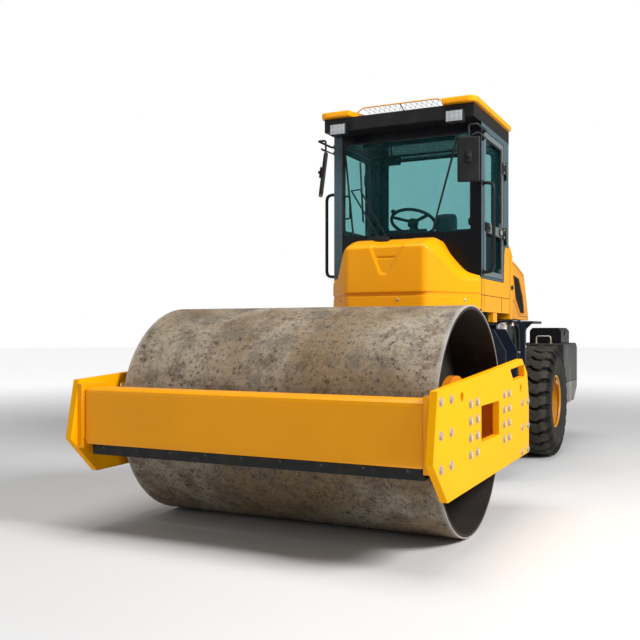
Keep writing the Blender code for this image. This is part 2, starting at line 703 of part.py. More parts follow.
def build_steps():
    """The two access ladders hung from the platform's edges."""
    treads = (STEP_LOW + 0.01, STEP_LOW + 0.35)
    for name, sign in SIDES:
        shapes = []
        for y in at_drum(*STEP_Y):
            outline = [(DECK_X + TOUCH, DECK_Z[1]), (DECK_X + TOUCH, 0.80), (0.66, STEP_LOW),
                       (STEP_X, STEP_LOW), (STEP_X, 1.08), (0.72, DECK_Z[1])]
            shapes.append(prism(outline, "y", (y, y + STEP_PLATE)))
        inner = (DRUM_Y + STEP_Y[0] + 0.006, DRUM_Y + STEP_Y[1] + 0.006)
        for z in treads:
            shapes.append(block((0.66, STEP_X - 0.005), inner, (z, z + 0.03)))
        node(f"step_{name}", "navy_paint", [sided(s, sign) for s in shapes])


def build_tail():
    """The counterweight across the tail, with a locker box on each side of its deck."""
    half = TAIL_WIDTH / 2
    low, high = TAIL_Z
    outline = [(TAIL_Y0, low + 0.02), (TAIL_Y0 + 0.28, low), (TAIL_Y1 - 0.20, low), (TAIL_Y1, low + 0.15),
               (TAIL_Y1, high - 0.05), (TAIL_Y1 - 0.06, high), (TAIL_Y0, high)]
    node("counterweight", "dark_green_paint", [prism(outline, "x", (-half, half), 0.012, 1)])
    for name, sign in SIDES:
        z0 = high + TOUCH
        shape = [(BOX_X[0], z0), (BOX_X[1], z0), (BOX_X[1], z0 + BOX_HEIGHT - 0.035),
                 (BOX_X[1] - 0.03, z0 + BOX_HEIGHT), (BOX_X[0] + 0.03, z0 + BOX_HEIGHT),
                 (BOX_X[0], z0 + BOX_HEIGHT - 0.035)]
        node(f"locker_{name}", "black_paint", [sided(prism(shape, "y", at_drum(*BOX_Y)), sign)])


# ---------------------------------------------------------------- bodywork
HOOD_FRONT = 2.727
HOOD_BASE_Z = 1.360
HOOD_WALL = 0.025
HOOD_HALF = (0.615, 0.450)
HOOD_HINGE_BACK = 0.125
HOOD_HINGE_INSET = 0.025
HOOD_HINGE = (TAIL_Y0 - DRUM_Y + HOOD_HINGE_BACK, 1.380)
HOOD_KNUCKLE_X = 0.300
KNUCKLE_HALF = 0.030
HOOD_PIN = 0.008
BULK_Y = (2.625, 2.720)
BULK_TOP = 2.030
STACK_INSET = 0.080
PANEL_THICK = 0.024
SILL_Z = 1.667
WING_TOP = 1.985
COWL_LOW = 1.420
# Each station across the cowl: x, then (y, z) of the shoulder and of the crest, and z at the cab.
COWL_STATIONS = (
    (CAB_X - 0.001, 1.640, 1.640, 1.652, 1.664, 1.665),
    (CAB_X - 0.015, 1.618, 1.652, 1.645, 1.690, 1.692),
    (0.560, 1.510, 1.652, 1.600, 1.712, 1.714),
    (0.520, 1.440, 1.687, 1.530, 1.738, 1.734),
    (0.385, 1.250, 1.875, 1.420, 1.965, 1.885),
    (0.340, 1.190, 1.918, 1.400, 2.000, 1.990),
)


def hood_half(y):
    """The hood's half-width at a distance behind the drum's axle: it narrows to the rear."""
    share = (y - HOOD_FRONT) / (HOOD_HINGE[0] - HOOD_FRONT)
    return HOOD_HALF[0] + share * (HOOD_HALF[1] - HOOD_HALF[0])


def hood_shell(inset, base):
    """The hood's outer or inner surface: its side outline at five widths across a crowned top."""
    rear = HOOD_HINGE[0] - HOOD_HINGE_INSET
    side = [(HOOD_FRONT + inset, 1.960 - inset), (3.300, 1.925 - inset), (rear - 0.440 - inset / 2, 1.868 - inset),
            (rear - 0.310 - inset, 1.740 - inset / 2), (rear - inset, base), (HOOD_FRONT + inset, base)]
    sections = []
    for share, drop in ((-1, 0.028), (-0.93, 0.006), (0, 0), (0.93, 0.006), (1, 0.028)):
        ring = []
        for i, (y, z) in enumerate(side):
            lower = 0 if i > 3 else drop
            ring.append((share * (hood_half(y) - inset), DRUM_Y + y, z - lower))
        sections.append(ring)
    return loft(sections)


def grille_outline():
    """The blade-shaped side opening of the hood, in distance behind the drum's axle and height."""
    return [(3.000, 1.790), (3.480, 1.775), (3.800, 1.600), (3.960, 1.420), (3.560, 1.420), (3.180, 1.560)]


def grille_panel(inset, depth_in, depth_out):
    """The opening's outline pulled in by inset, as a slab that follows the hood's slanted side."""
    outline = grille_outline()
    cy = sum(p[0] for p in outline) / len(outline)
    cz = sum(p[1] for p in outline) / len(outline)
    rings = []
    for depth in (depth_in, depth_out):
        ring = []
        for y, z in outline:
            away = math.hypot(y - cy, z - cz)
            y2 = y - (y - cy) / away * inset
            z2 = z - (z - cz) / away * inset
            ring.append((hood_half(y2) - depth, DRUM_Y + y2, z2))
        rings.append(ring)
    return loft(rings)


def build_hood():
    """The tilting engine hood, open below, with a grille set in each side."""
    shell = hood_shell(0, HOOD_BASE_Z)
    hollow = hood_shell(HOOD_WALL, HOOD_BASE_Z - 0.1)
    cuts = [hollow] + mirrored(lambda: grille_panel(0, 0.10, -0.05))
    hinge = (0, DRUM_Y + HOOD_HINGE[0], HOOD_HINGE[1])
    arm_y = (hinge[1] - 0.050, hinge[1] - 0.012)
    shapes = [shell]
    for x in (-HOOD_KNUCKLE_X, HOOD_KNUCKLE_X):
        arm_x = (x - KNUCKLE_HALF, x + KNUCKLE_HALF)
        shapes.append(rod("x", (x, hinge[1], hinge[2]), (-KNUCKLE_HALF, KNUCKLE_HALF), 0.018, 16))
        shapes.append(block(arm_x, arm_y, (hinge[2] - 0.010, hinge[2] + 0.012)))
    cuts.append(rod("x", hinge, (-0.5, 0.5), HOOD_PIN + PIN_GAP, 16))
    node("hood", "yellow_paint", shapes, cuts, pivot=hinge, parent="hood")
    for name, sign in SIDES:
        mesh = grille_panel(TOUCH * 3, 0.018, 0.008)
        node(f"hood_grille_{name}", "black_mesh", [sided(mesh, sign)], pivot=hinge, parent="hood")


def build_bulkhead():
    """The fixed wing panel behind the cab, that the hood closes against."""
    y = at_drum(*BULK_Y)
    outline = [(-CAB_X, BAY_TOP + TOUCH), (CAB_X, BAY_TOP + TOUCH), (CAB_X, BULK_TOP - 0.10),
               (CAB_X - 0.027, BULK_TOP), (-CAB_X + 0.027, BULK_TOP), (-CAB_X, BULK_TOP - 0.10)]
    node("hood_bulkhead", "yellow_paint", [prism(outline, "y", y)])
    stack = (CAB_X - STACK_INSET, (y[0] + y[1]) / 2, 0)
    z0 = BULK_TOP + TOUCH
    profile = [(z0, 0), (z0, 0.038), (z0 + 0.62, 0.038), (z0 + 0.62, 0.033), (z0 + 0.05, 0.033), (z0 + 0.05, 0)]
    node("exhaust_stack", "cast_iron", [turned(profile, "z", stack, 24)])


def build_cowl():
    """The nose cowl under the windscreen: a flat nose whose sides sweep back to the cab's corners."""
    back = CAB_FRONT - TOUCH
    rings = []
    for sign in (-1, 1):
        for x, face, shoulder, crest, top, rear in COWL_STATIONS[::-sign]:
            ring = [(face, COWL_LOW), (face, shoulder), (crest, top), (back, rear), (back, COWL_LOW)]
            rings.append([(sign * x, DRUM_Y + y, z) for y, z in ring])
    node("front_cowl", "yellow_paint", [loft(rings)])


def wing_outline(grow):
    """The skirt panel's outline in row positions, its cab side moved outwards by grow."""
    front = CAB_FRONT + 0.010 - grow
    back = BULK_Y[0] - TOUCH
    foot = DOOR_Y[1] + 0.005 - grow
    outline = [(front, CAB_BASE_Z), (back, CAB_BASE_Z), (back, WING_TOP + grow), (foot + 0.055, WING_TOP + grow),
               (foot + 0.024, 1.930), (foot, SILL_Z + grow), (front, SILL_Z + grow)]
    return [(DRUM_Y + y, z) for y, z in outline]


def build_side_panels():
    """The yellow skirt panels under the doors, rising to a wing behind them."""
    for name, sign in SIDES:
        panel = prism(wing_outline(0), "x", (CAB_X - PANEL_THICK, CAB_X))
        node(f"side_panel_{name}", "yellow_paint", [sided(panel, sign)])


# ---------------------------------------------------------------- cab
FLOOR_Z = (1.560, 1.600)
CONSOLE_X = (CAB_X - 0.295, CAB_X - 0.125)
CONSOLE_TOP = 2.080
PILLAR = 0.087
SCREEN_Z = (2.060, 2.860)
DOOR_Y = (1.752, 2.392)
DOOR_Z = (1.690, 2.880)
DOOR_BORDER = 0.045
DOOR_RAIL_Z = (2.060, 2.135)
HINGE_OUT = 0.013
HINGE_RADIUS = 0.011
HINGE_ZS = ((2.040, 2.150), (2.615, 2.725))
REAR_WINDOW_X = 0.510
REAR_WINDOW_Z = (2.180, 2.865)
ROOF_X = 0.680
ROOF_Y = (1.410, 2.620)
ROOF_Z = (3.040, 3.090)
LAMP_X = 0.505
LAMP_SIZE = (0.146, 0.095)
LAMP_Z = 2.935
LAMP_DEPTH = 0.055
GUARD_TOP = 3.125


def build_cab_frame():
    """The cab's shell: pillars and walls around the door, screen and rear window openings."""
    y = (CAB_Y0, CAB_Y1)
    shell = block((-CAB_X, CAB_X), y, (CAB_BASE_Z + TOUCH, CAB_TOP_Z))
    inner = CAB_X - CAB_WALL
    cuts = [block((-inner, inner), (y[0] + CAB_WALL, y[1] - CAB_WALL), (CAB_BASE_Z - 0.1, CAB_TOP_Z - 0.06))]
    glazed = CAB_X - PILLAR
    cuts.append(block((-glazed, glazed), (y[0] - 0.1, y[0] + 0.1), SCREEN_Z))
    cuts.append(block((-REAR_WINDOW_X, REAR_WINDOW_X), (y[1] - 0.1, y[1] + 0.1), REAR_WINDOW_Z))
    cuts.append(block((-1, 1), at_drum(*DOOR_Y), DOOR_Z))
    cuts += mirrored(lambda: prism(wing_outline(TOUCH), "x", (CAB_X - PANEL_THICK - TOUCH, CAB_X + 0.1)))
    shapes = [shell]
    hinge_y = DRUM_Y + DOOR_Y[1] + 0.008
    for z in HINGE_ZS:
        low = z[0] - PIN_GAP - 0.04
        shapes += mirrored(lambda: block((CAB_X - 0.01, CAB_X + HINGE_OUT + HINGE_RADIUS),
                                         (hinge_y + 0.001, hinge_y + 0.035), (low, low + 0.04)))
    node("cab_frame", "black_paint", shapes, cuts)
    inside = inner - TOUCH
    floor = block((-inside, inside), (y[0] + CAB_WALL + TOUCH, y[1] - CAB_WALL - TOUCH), FLOOR_Z)
    console = block(CONSOLE_X, (y[1] - 0.53, y[1] - 0.13), (FLOOR_Z[1] - 0.01, CONSOLE_TOP), 0.015, 1)
    node("cab_floor", "black_plastic", [floor, console])


def build_glass():
    """The wide windscreen and the rear window, each in its opening."""
    y = DRUM_Y + CAB_FRONT + 0.012
    glazed = CAB_X - PILLAR - TOUCH
    low, high = SCREEN_Z[0] + TOUCH, SCREEN_Z[1] - TOUCH
    node("windscreen", "glass", [block((-glazed, glazed), (y, y + GLASS), (low, high))])
    half = REAR_WINDOW_X - TOUCH
    back = CAB_Y1 - 0.020
    node("rear_window", "glass", [block((-half, half), (back, back + GLASS),
                                        (REAR_WINDOW_Z[0] + TOUCH, REAR_WINDOW_Z[1] - TOUCH))])


def build_doors():
    """The two glazed doors, hung on their rear edges, each with its bonded glass inside."""
    y = (DRUM_Y + DOOR_Y[0] + MOVE_GAP, DRUM_Y + DOOR_Y[1] - MOVE_GAP)
    z = (DOOR_Z[0] + MOVE_GAP, DOOR_Z[1] - MOVE_GAP)
    outer = CAB_X - 0.002
    inner = outer - DOOR_THICK
    hinge = Vector((CAB_X + HINGE_OUT, DRUM_Y + DOOR_Y[1] + 0.008, 0))
    for name, sign in SIDES:
        pivot = (sign * hinge.x, hinge.y, 0)
        pane_y = (y[0] + DOOR_BORDER, y[1] - DOOR_BORDER)
        shapes = [block((inner, outer), y, z)]
        for low, high in HINGE_ZS:
            shapes.append(rod("z", hinge, (low, high), HINGE_RADIUS, 16))
            strap_z = (low + 0.005, high - 0.005)
            shapes.append(block((outer - 0.01, CAB_X + 0.008), (y[1] - 0.05, y[1]), strap_z))
            shapes.append(block((CAB_X + 0.004, hinge.x), (y[1] - 0.02, hinge.y), strap_z))
        cuts = [
            block((inner - 0.1, outer + 0.1), pane_y, (DOOR_RAIL_Z[1], z[1] - DOOR_BORDER)),
            block((inner - 0.1, outer + 0.1), pane_y, (z[0] + DOOR_BORDER, DOOR_RAIL_Z[0])),
        ]
        node(f"door_{name}", "grey_paint", [sided(s, sign) for s in shapes], [sided(c, sign) for c in cuts],
             pivot=pivot, parent=f"door_{name}")
        pane = block((inner - TOUCH - GLASS, inner - TOUCH), (y[0] + 0.02, y[1] - 0.02), (z[0] + 0.02, z[1] - 0.02))
        node(f"door_glass_{name}", "glass", [sided(pane, sign)], pivot=pivot, parent=f"door_{name}")


def build_roof():
    """The yellow roof with its notched front, the black liner under it, the guard and the work lamps."""
    y = at_drum(*ROOF_Y)
    notch = 0.360
    half = [(notch, y[0] + 0.270), (notch + 0.04, y[0]), (ROOF_X - 0.06, y[0]), (ROOF_X - 0.018, y[0] + 0.02),
            (ROOF_X, y[0] + 0.07), (ROOF_X, y[1] - 0.05), (ROOF_X - 0.05, y[1])]
    outline = half + [(-x, low) for x, low in reversed(half)]
    guard_y = y[0] + 0.130
    ends = notch + 0.05
    guard = [(-ends, guard_y, ROOF_Z[1] - 0.02), (-notch + 0.03, guard_y, GUARD_TOP),
             (notch - 0.03, guard_y, GUARD_TOP), (ends, guard_y, ROOF_Z[1] - 0.02)]
    bars = swept(rounded_path(guard, 0.02, 2), 0.006, 6)
    node("roof", "yellow_paint", [prism(outline, "z", ROOF_Z, 0.015, 2), bars])
    liner_front = DRUM_Y + 1.460
    low, high = CAB_TOP_Z + TOUCH, ROOF_Z[0] - TOUCH
    liner = [block((-ROOF_X + 0.03, ROOF_X - 0.03), (liner_front, y[1] - 0.02), (low, high))]
    lamp_z = (LAMP_Z - LAMP_SIZE[1] / 2, LAMP_Z + LAMP_SIZE[1] / 2)
    lamp_x = (LAMP_X - LAMP_SIZE[0] / 2, LAMP_X + LAMP_SIZE[0] / 2)
    liner += mirrored(lambda: block(lamp_x, (liner_front - LAMP_DEPTH, liner_front + 0.005), lamp_z, 0.006, 1))
    node("roof_liner", "black_plastic", liner)


def build_handrails():
    """The grab rails outside the front pillars."""
    for name, sign in SIDES:
        x0, x1, y = CAB_X + TOUCH, CAB_X + 0.090, CAB_Y0 + 0.040
        path = rounded_path([(x0, y, 1.720), (x1, y, 1.720), (x1, y, 2.440), (x0, y, 2.440)], 0.05, 3)
        node(f"handrail_{name}", "black_paint", [sided(swept(path, 0.014, 8), sign)])


def build_mirrors():
    """The rear-view mirrors, each on a tube looped forward from its front pillar."""
    root = CAB_Y0 + 0.030
    for name, sign in SIDES:
        low, turn, lean = MIRROR_POSES[name]
        place = Vector((MIRROR_X, DRUM_Y + MIRROR_Y, low + MIRROR_SIZE[2]))
        loop_z = MIRROR_LOOP_Z
        arm = rounded_path([(CAB_X + TOUCH, root, loop_z), (CAB_X + 0.035, root, loop_z),
                            (CAB_X + 0.035, place.y, loop_z), (place.x, place.y, loop_z),
                            (place.x, place.y, place.z - 0.02)], 0.02, 3)
        w, d, h = MIRROR_SIZE
        glass = block((-w / 2, w / 2), (-d / 2, d / 2), (-h, 0), 0.012, 2)
        glass.transform(Matrix.Translation(place) @ Matrix.Rotation(turn, 4, "Z") @ Matrix.Rotation(lean, 4, "X"))
        node(f"mirror_{name}", "black_plastic", [sided(s, sign) for s in (swept(arm, 0.009, 8), glass)])


MIRROR_X = 0.620
MIRROR_Y = 1.420
MIRROR_LOOP_Z = 2.855
MIRROR_SIZE = (0.176, 0.036, 0.355)
MIRROR_POSES = {"left": (2.408, math.radians(18), 0.0), "right": (2.385, math.radians(62), math.radians(-7))}
WHEEL_CENTRE = Vector((0, -0.130, 2.180))
WHEEL_TILT = math.radians(-28)
SEAT_HALF = 0.220
SEAT_GAP = 0.020
SEAT_BACK_TOP = 2.215
HEADREST_HALF = 0.105
HEADREST_TOP = 2.320


def build_interior():
    """The seat, dash, side console and steering wheel."""
    floor = FLOOR_Z[1] + TOUCH
    dash_front = CAB_Y0 + CAB_WALL + TOUCH
    shapes = [
        block((-0.34, 0.34), (dash_front, dash_front + 0.09), (floor, 2.03), 0.01, 1),
        block((-0.05, 0.05), (dash_front + 0.08, dash_front + 0.16), (floor, 1.84)),
    ]
    hub = WHEEL_CENTRE
    shapes.append(tilted(rod("z", hub, (-0.28, -0.035), 0.022, 16), hub, WHEEL_TILT))
    node("dashboard", "black_plastic", shapes)
    rim = []
    minor, major = 0.014, 0.190
    for i in range(8):
        angle = 2 * math.pi * i / 8
        rim.append((minor * math.sin(angle), major + minor * math.cos(angle)))
    wheel = [turned(rim, "z", hub, 32), rod("z", hub, (-0.035 + PIN_GAP, 0.012), 0.045, 20)]
    for angle in (90, 210, 330):
        spoke = block((0.03, major), (-0.014, 0.014), (-0.006, 0.006))
        spoke.transform(Matrix.Translation(hub) @ Matrix.Rotation(math.radians(angle), 4, "Z"))
        wheel.append(spoke)
    wheel = [tilted(w, hub, WHEEL_TILT) for w in wheel]
    node("steering_wheel", "black_plastic", wheel, pivot=tuple(hub), parent="steering_wheel")

    seat_y = CAB_Y1 - CAB_WALL - 0.030
    middle = CONSOLE_X[0] - SEAT_GAP - SEAT_HALF

    def across(half):
        """The x range of half-width around the seat's middle."""
        return (middle - half, middle + half)

    base_y = (seat_y - 0.46, seat_y - 0.08)
    node("seat_base", "black_paint", [block(across(SEAT_HALF - 0.03), base_y, (floor, 1.900), 0.01, 1)])
    node("seat_cushion", "black_fabric",
         [block(across(SEAT_HALF), (seat_y - 0.50, seat_y - 0.01), (1.900 + TOUCH, 2.010), 0.03, 2)])
    back = block(across(SEAT_HALF - 0.02), (seat_y - 0.12, seat_y), (2.010 + TOUCH, SEAT_BACK_TOP), 0.03, 2)
    rest = block(across(HEADREST_HALF), (seat_y - 0.11, seat_y - 0.02), (SEAT_BACK_TOP - 0.02, HEADREST_TOP), 0.03, 2)
    node("seat_back", "black_fabric", [back, rest])


def main():
    """Builds the whole machine, body by body."""
    clear_scene()
    body("hitch", (0, HITCH_Y, HITCH_Z))
    body("drum_frame", (0, DRUM_Y + CROSS_Y[1], HITCH_Z), "hitch")
    body("drum", (0, DRUM_Y, DRUM_RADIUS), "drum_frame")
    for name, sign in SIDES:
        pivot = (sign * BARREL_PIVOT[0], HITCH_Y + BARREL_PIVOT[1], CYLINDER_Z)
        body(f"steer_barrel_{name}", pivot)
        body(f"steer_rod_{name}", pivot, f"steer_barrel_{name}")
        body(f"wheel_{name}", (sign * TYRE_TRACK / 2, REAR_AXLE_Y, TYRE_RADIUS))
        body(f"door_{name}", (sign * (CAB_X + HINGE_OUT), DRUM_Y + DOOR_Y[1] + 0.008, 0))
    body("hood", (0, DRUM_Y + HOOD_HINGE[0], HOOD_HINGE[1]))
    body("steering_wheel", WHEEL_CENTRE)

    build_drum()
    build_side_plates()
    build_beams()
    build_scrapers()
    build_drum_mounts()
    build_hitch()
    build_cylinders()
    build_chassis()
    build_platform()
    build_axle()
    build_wheels()
    build_engine()
    build_tanks()
    build_fenders()
    build_steps()
    build_tail()
    build_bulkhead()
    build_hood()
    build_cowl()
    build_side_panels()
    build_cab_frame()
    build_glass()
    build_doors()
    build_roof()
    build_handrails()
    build_mirrors()
    build_interior()


main()
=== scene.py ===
"""The finished look of a single-drum road roller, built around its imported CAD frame.

Metres, +Z up. -Y is the front (the drum end) and +X is the machine's left side.
"""

import logging
import math
from dataclasses import dataclass
from enum import Enum
from typing import Callable, Sequence

import bmesh
import bpy
import numpy as np
from mathutils import Matrix, Vector


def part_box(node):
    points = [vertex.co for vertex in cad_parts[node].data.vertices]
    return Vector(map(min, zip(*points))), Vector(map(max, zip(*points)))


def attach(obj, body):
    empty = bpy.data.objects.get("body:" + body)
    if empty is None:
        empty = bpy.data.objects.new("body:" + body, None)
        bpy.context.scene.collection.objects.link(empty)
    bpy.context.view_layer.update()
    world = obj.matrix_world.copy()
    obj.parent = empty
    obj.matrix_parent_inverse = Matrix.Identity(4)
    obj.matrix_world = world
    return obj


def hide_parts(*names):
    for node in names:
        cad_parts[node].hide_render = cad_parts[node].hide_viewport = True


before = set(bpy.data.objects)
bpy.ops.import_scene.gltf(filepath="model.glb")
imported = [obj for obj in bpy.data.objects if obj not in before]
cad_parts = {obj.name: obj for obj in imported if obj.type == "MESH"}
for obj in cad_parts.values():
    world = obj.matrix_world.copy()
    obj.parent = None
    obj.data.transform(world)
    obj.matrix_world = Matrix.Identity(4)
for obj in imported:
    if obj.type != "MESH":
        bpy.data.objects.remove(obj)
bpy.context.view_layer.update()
LOG = logging.getLogger("road_roller")
Point = Sequence[float]


class Side(Enum):
    """A side of the machine, its value the sign of x."""

    LEFT = 1
    RIGHT = -1

    @property
    def word(self) -> str:
        """The side's name in lower case."""
        return self.name.lower()


# ------------------------------------------------------------------ shader graph
class Wire:
    """A node's output socket, with the arithmetic of its values."""

    def __init__(self, graph: "Graph", socket: bpy.types.NodeSocket) -> None:
        """Holds the socket and the graph that it belongs to."""
        self.graph = graph
        self.socket = socket

    def _math(self, operation: str, other: "Wire | float", swapped: bool = False) -> "Wire":
        """Adds a Math node.

        Args:
            operation: the Math node's operation.
            other: the second operand.
            swapped: whether the operands change places.

        Returns:
            The node's value.
        """
        first, second = (other, self) if swapped else (self, other)
        return self.graph.node("ShaderNodeMath", {"operation": operation}, {0: first, 1: second})

    def __add__(self, other: "Wire | float") -> "Wire":
        """self + other."""
        return self._math("ADD", other)

    __radd__ = __add__

    def __sub__(self, other: "Wire | float") -> "Wire":
        """self - other."""
        return self._math("SUBTRACT", other)

    def __rsub__(self, other: float) -> "Wire":
        """other - self."""
        return self._math("SUBTRACT", other, swapped=True)

    def __mul__(self, other: "Wire | float") -> "Wire":
        """self * other."""
        return self._math("MULTIPLY", other)

    __rmul__ = __mul__

    def __gt__(self, other: "Wire | float") -> "Wire":
        """1 where self is above other, else 0."""
        return self._math("GREATER_THAN", other)

    def __abs__(self) -> "Wire":
        """The size of the value."""
        return self._math("ABSOLUTE", 0.0)

    def step(self, low: float, high: float) -> "Wire":
        """The value's smooth rise from 0 at low to 1 at high."""
        settings = {"interpolation_type": "SMOOTHSTEP"}
        return self.graph.node("ShaderNodeMapRange", settings, {0: self, 1: low, 2: high, 3: 0.0, 4: 1.0})


class Graph:
    """The node tree of one material."""

    def __init__(self, name: str) -> None:
        """Starts a material of that name with its Principled shader."""
        self.material = bpy.data.materials.new(name)
        self.material.use_nodes = True
        self.tree = self.material.node_tree
        self.shader = self.tree.nodes["Principled BSDF"]
        self._axes: dict[str, Wire] = {}

    def node(self, kind: str, settings: dict | None = None, inputs: dict | None = None,
             output: int = 0) -> Wire:
        """Adds any node.

        Args:
            kind: the node's type.
            settings: its settings; "stops" are a colour ramp's (place, colour) pairs.
            inputs: values or wires by socket name or number.
            output: the number of the output wanted.

        Returns:
            That output.
        """
        made = self.tree.nodes.new(kind)
        for key, value in (settings or {}).items():
            if key == "stops":
                while len(made.color_ramp.elements) < len(value):
                    made.color_ramp.elements.new(1.0)
                for element, (place, colour) in zip(made.color_ramp.elements, value):
                    element.position, element.color = place, colour
            else:
                setattr(made, key, value)
        for key, value in (inputs or {}).items():
            if isinstance(value, Wire):
                self.tree.links.new(value.socket, made.inputs[key])
            else:
                made.inputs[key].default_value = value
        return Wire(self, made.outputs[output])

    def place(self) -> Wire:
        """The surface's own place, in metres of the machine."""
        if "place" not in self._axes:
            self._axes["place"] = self.node("ShaderNodeTexCoord", output=3)
        return self._axes["place"]

    def axis(self, letter: str) -> Wire:
        """One coordinate of the place: x, y or z."""
        if letter not in self._axes:
            self._axes[letter] = self.node("ShaderNodeSeparateXYZ", {}, {0: self.place()},
                                           "xyz".index(letter))
        return self._axes[letter]

    def facing(self, letter: str) -> Wire:
        """One part of the surface's direction."""
        normal = self.node("ShaderNodeNewGeometry", output=1)
        return self.node("ShaderNodeSeparateXYZ", {}, {0: normal}, "xyz".index(letter))

    def noise(self, scale: float, detail: float = 4.0, rough: float = 0.55,
              stretch: Point | None = None) -> Wire:
        """Soft random values from 0 to 1.

        Args:
            scale: spots in a metre.
            detail: octaves.
            rough: how strong the small octaves are.
            stretch: scale factors along x, y and z.

        Returns:
            The noise's value.
        """
        where = self.place()
        if stretch:
            where = self.node("ShaderNodeMapping", {}, {"Vector": where, "Scale": stretch})
        inputs = {"Vector": where, "Scale": scale, "Detail": detail, "Roughness": rough}
        return self.node("ShaderNodeTexNoise", {}, inputs)

    def cells(self, scale: float, spread: float = 1.0) -> Wire:
        """Distance to the nearest of scattered points, `scale` of them in a metre."""
        return self.node("ShaderNodeTexVoronoi", {},
                         {"Vector": self.place(), "Scale": scale, "Randomness": spread})

    def blend(self, mask: "Wire | float", low: "Wire | Point", high: "Wire | Point") -> Wire:
        """The colour low where the mask is 0, and high where it is 1."""
        low, high = (c if isinstance(c, Wire) else (*c, 1.0) for c in (low, high))
        return self.node("ShaderNodeMix", {"data_type": "RGBA"}, {0: mask, 6: low, 7: high}, 2)

    def edges(self, radius: float) -> tuple[Wire, Wire]:
        """Softened edges.

        Args:
            radius: how far the softening reaches, in metres.

        Returns:
            The softened normal, and a mask that is 1 along edges.
        """
        soft = self.node("ShaderNodeBevel", {"samples": 3}, {"Radius": radius})
        true = self.node("ShaderNodeNewGeometry", output=1)
        along = self.node("ShaderNodeVectorMath", {"operation": "DOT_PRODUCT"}, {0: soft, 1: true}, 1)
        return soft, (1.0 - along).step(0.01, 0.12)

    def bump(self, height: Wire, strength: float, distance: float, normal: Wire | None = None) -> Wire:
        """A normal roughened by a height in units of distance."""
        inputs = {"Height": height, "Strength": strength, "Distance": distance}
        if normal:
            inputs["Normal"] = normal
        return self.node("ShaderNodeBump", {}, inputs)

    def feed(self, **sockets: "Wire | float | Point") -> None:
        """Sets the shader's sockets: Base_Color is Base Color, and so on."""
        for key, value in sockets.items():
            socket = self.shader.inputs[key.replace("_", " ")]
            if isinstance(value, Wire):
                self.tree.links.new(value.socket, socket)
            elif socket.type == "RGBA":
                socket.default_value = (*value, 1.0)
            else:
                socket.default_value = value


TAIL_SEAM = 0.690
DRUM_AXLE = (-2.0, 0.7)
DRUM_SKIN = 0.012
DRUM_EDGE = (1.020, 1.052)


# ------------------------------------------------------------------ finishes
@dataclass(frozen=True)
class Finish:
    """A surface of one colour; the other finishes add what theirs shows."""

    name: str
    colour: tuple[float, float, float]
    rough: float = 0.5
    metal: float = 0.0

    def surface(self, graph: Graph) -> None:
        """Builds the nodes."""
        spots = graph.noise(9.0)
        tint = graph.blend(spots.step(0.3, 0.8), self.colour, tuple(c * 0.82 for c in self.colour))
        graph.feed(Base_Color=tint, Roughness=(spots - 0.5) * 0.12 + self.rough, Metallic=self.metal)

    def material(self) -> bpy.types.Material:
        """The finish's material, made once."""
        found = bpy.data.materials.get(f"look_{self.name}")
        if found:
            return found
        graph = Graph(f"look_{self.name}")
        self.surface(graph)
        return graph.material


@dataclass(frozen=True)
class Paint(Finish):
    """Sprayed paint: orange peel, faint mottling, dust low down, paler worn edges."""

    dust: float = 0.35
    edge: float = 0.004
    peel: float = 0.10
    coat: float = 0.06
    gloss: float = 0.22
    worn: tuple[float, float, float] = (0.55, 0.50, 0.42)

    def tint(self, graph: Graph) -> Wire:
        """The clean paint's colour."""
        broad = graph.noise(1.7, 3.0)
        deep = tuple(c * 0.95 for c in self.colour)
        return graph.blend(broad.step(0.35, 0.7), self.colour, deep)

    def surface(self, graph: Graph) -> None:
        """Builds the nodes."""
        normal, edge = graph.edges(self.edge)
        patchy = graph.noise(14.0, 6.0, 0.65)
        dusty = (patchy.step(0.42, 0.75)) * (1.0 - graph.axis("z").step(0.1, 1.3)) * self.dust
        chips = edge * graph.noise(55.0, 5.0).step(0.50, 0.62) * 0.55
        colour = graph.blend(dusty, self.tint(graph), (0.34, 0.27, 0.18))
        colour = graph.blend(chips, colour, self.worn)
        fine = graph.noise(420.0, 2.0)
        graph.feed(
            Base_Color=colour,
            Roughness=dusty * 0.35 + patchy * 0.10 + (self.rough - 0.05),
            Metallic=self.metal,
            Coat_Weight=self.coat,
            Coat_Roughness=0.12,
            Specular_IOR_Level=self.gloss,
            Normal=graph.bump(fine, self.peel, 0.0006, normal),
        )


@dataclass(frozen=True)
class PlatePaint(Paint):
    """Paint on a plate whose bolt heads, standing past a distance from the middle, are bare zinc."""

    beyond: float = 1.0

    def tint(self, graph: Graph) -> Wire:
        """The paint's colour, and zinc on the heads."""
        heads = abs(graph.axis("x")) > self.beyond
        return graph.blend(heads, super().tint(graph), (0.50, 0.43, 0.34))


@dataclass(frozen=True)
class TailPaint(Paint):
    """The counterweight's dark paint, its face streaked by rain, and its lower casting made paler as a
    painted sheen.
    """

    seam: float = TAIL_SEAM

    def tint(self, graph: Graph) -> Wire:
        """The dark colour, run with pale rain streaks, and a stronger pale streaking under the seam that is
        a painted sheen.
        """
        streaks = graph.noise(9.0, 7.0, 0.7, (1.0, 1.0, 0.18))
        # Painted sheen: upright faces under the cast seam are made paler, standing for light on the lower
        # casting.
        lower_sheen = 1.0 - graph.axis("z").step(self.seam - 0.004, self.seam + 0.004)
        upright = 1.0 - abs(graph.facing("z")).step(0.4, 0.8)
        mask = upright * (streaks.step(0.50, 0.72) * 0.35 + lower_sheen * streaks.step(0.25, 0.65) * 0.60)
        return graph.blend(mask, super().tint(graph), (0.30, 0.29, 0.26))


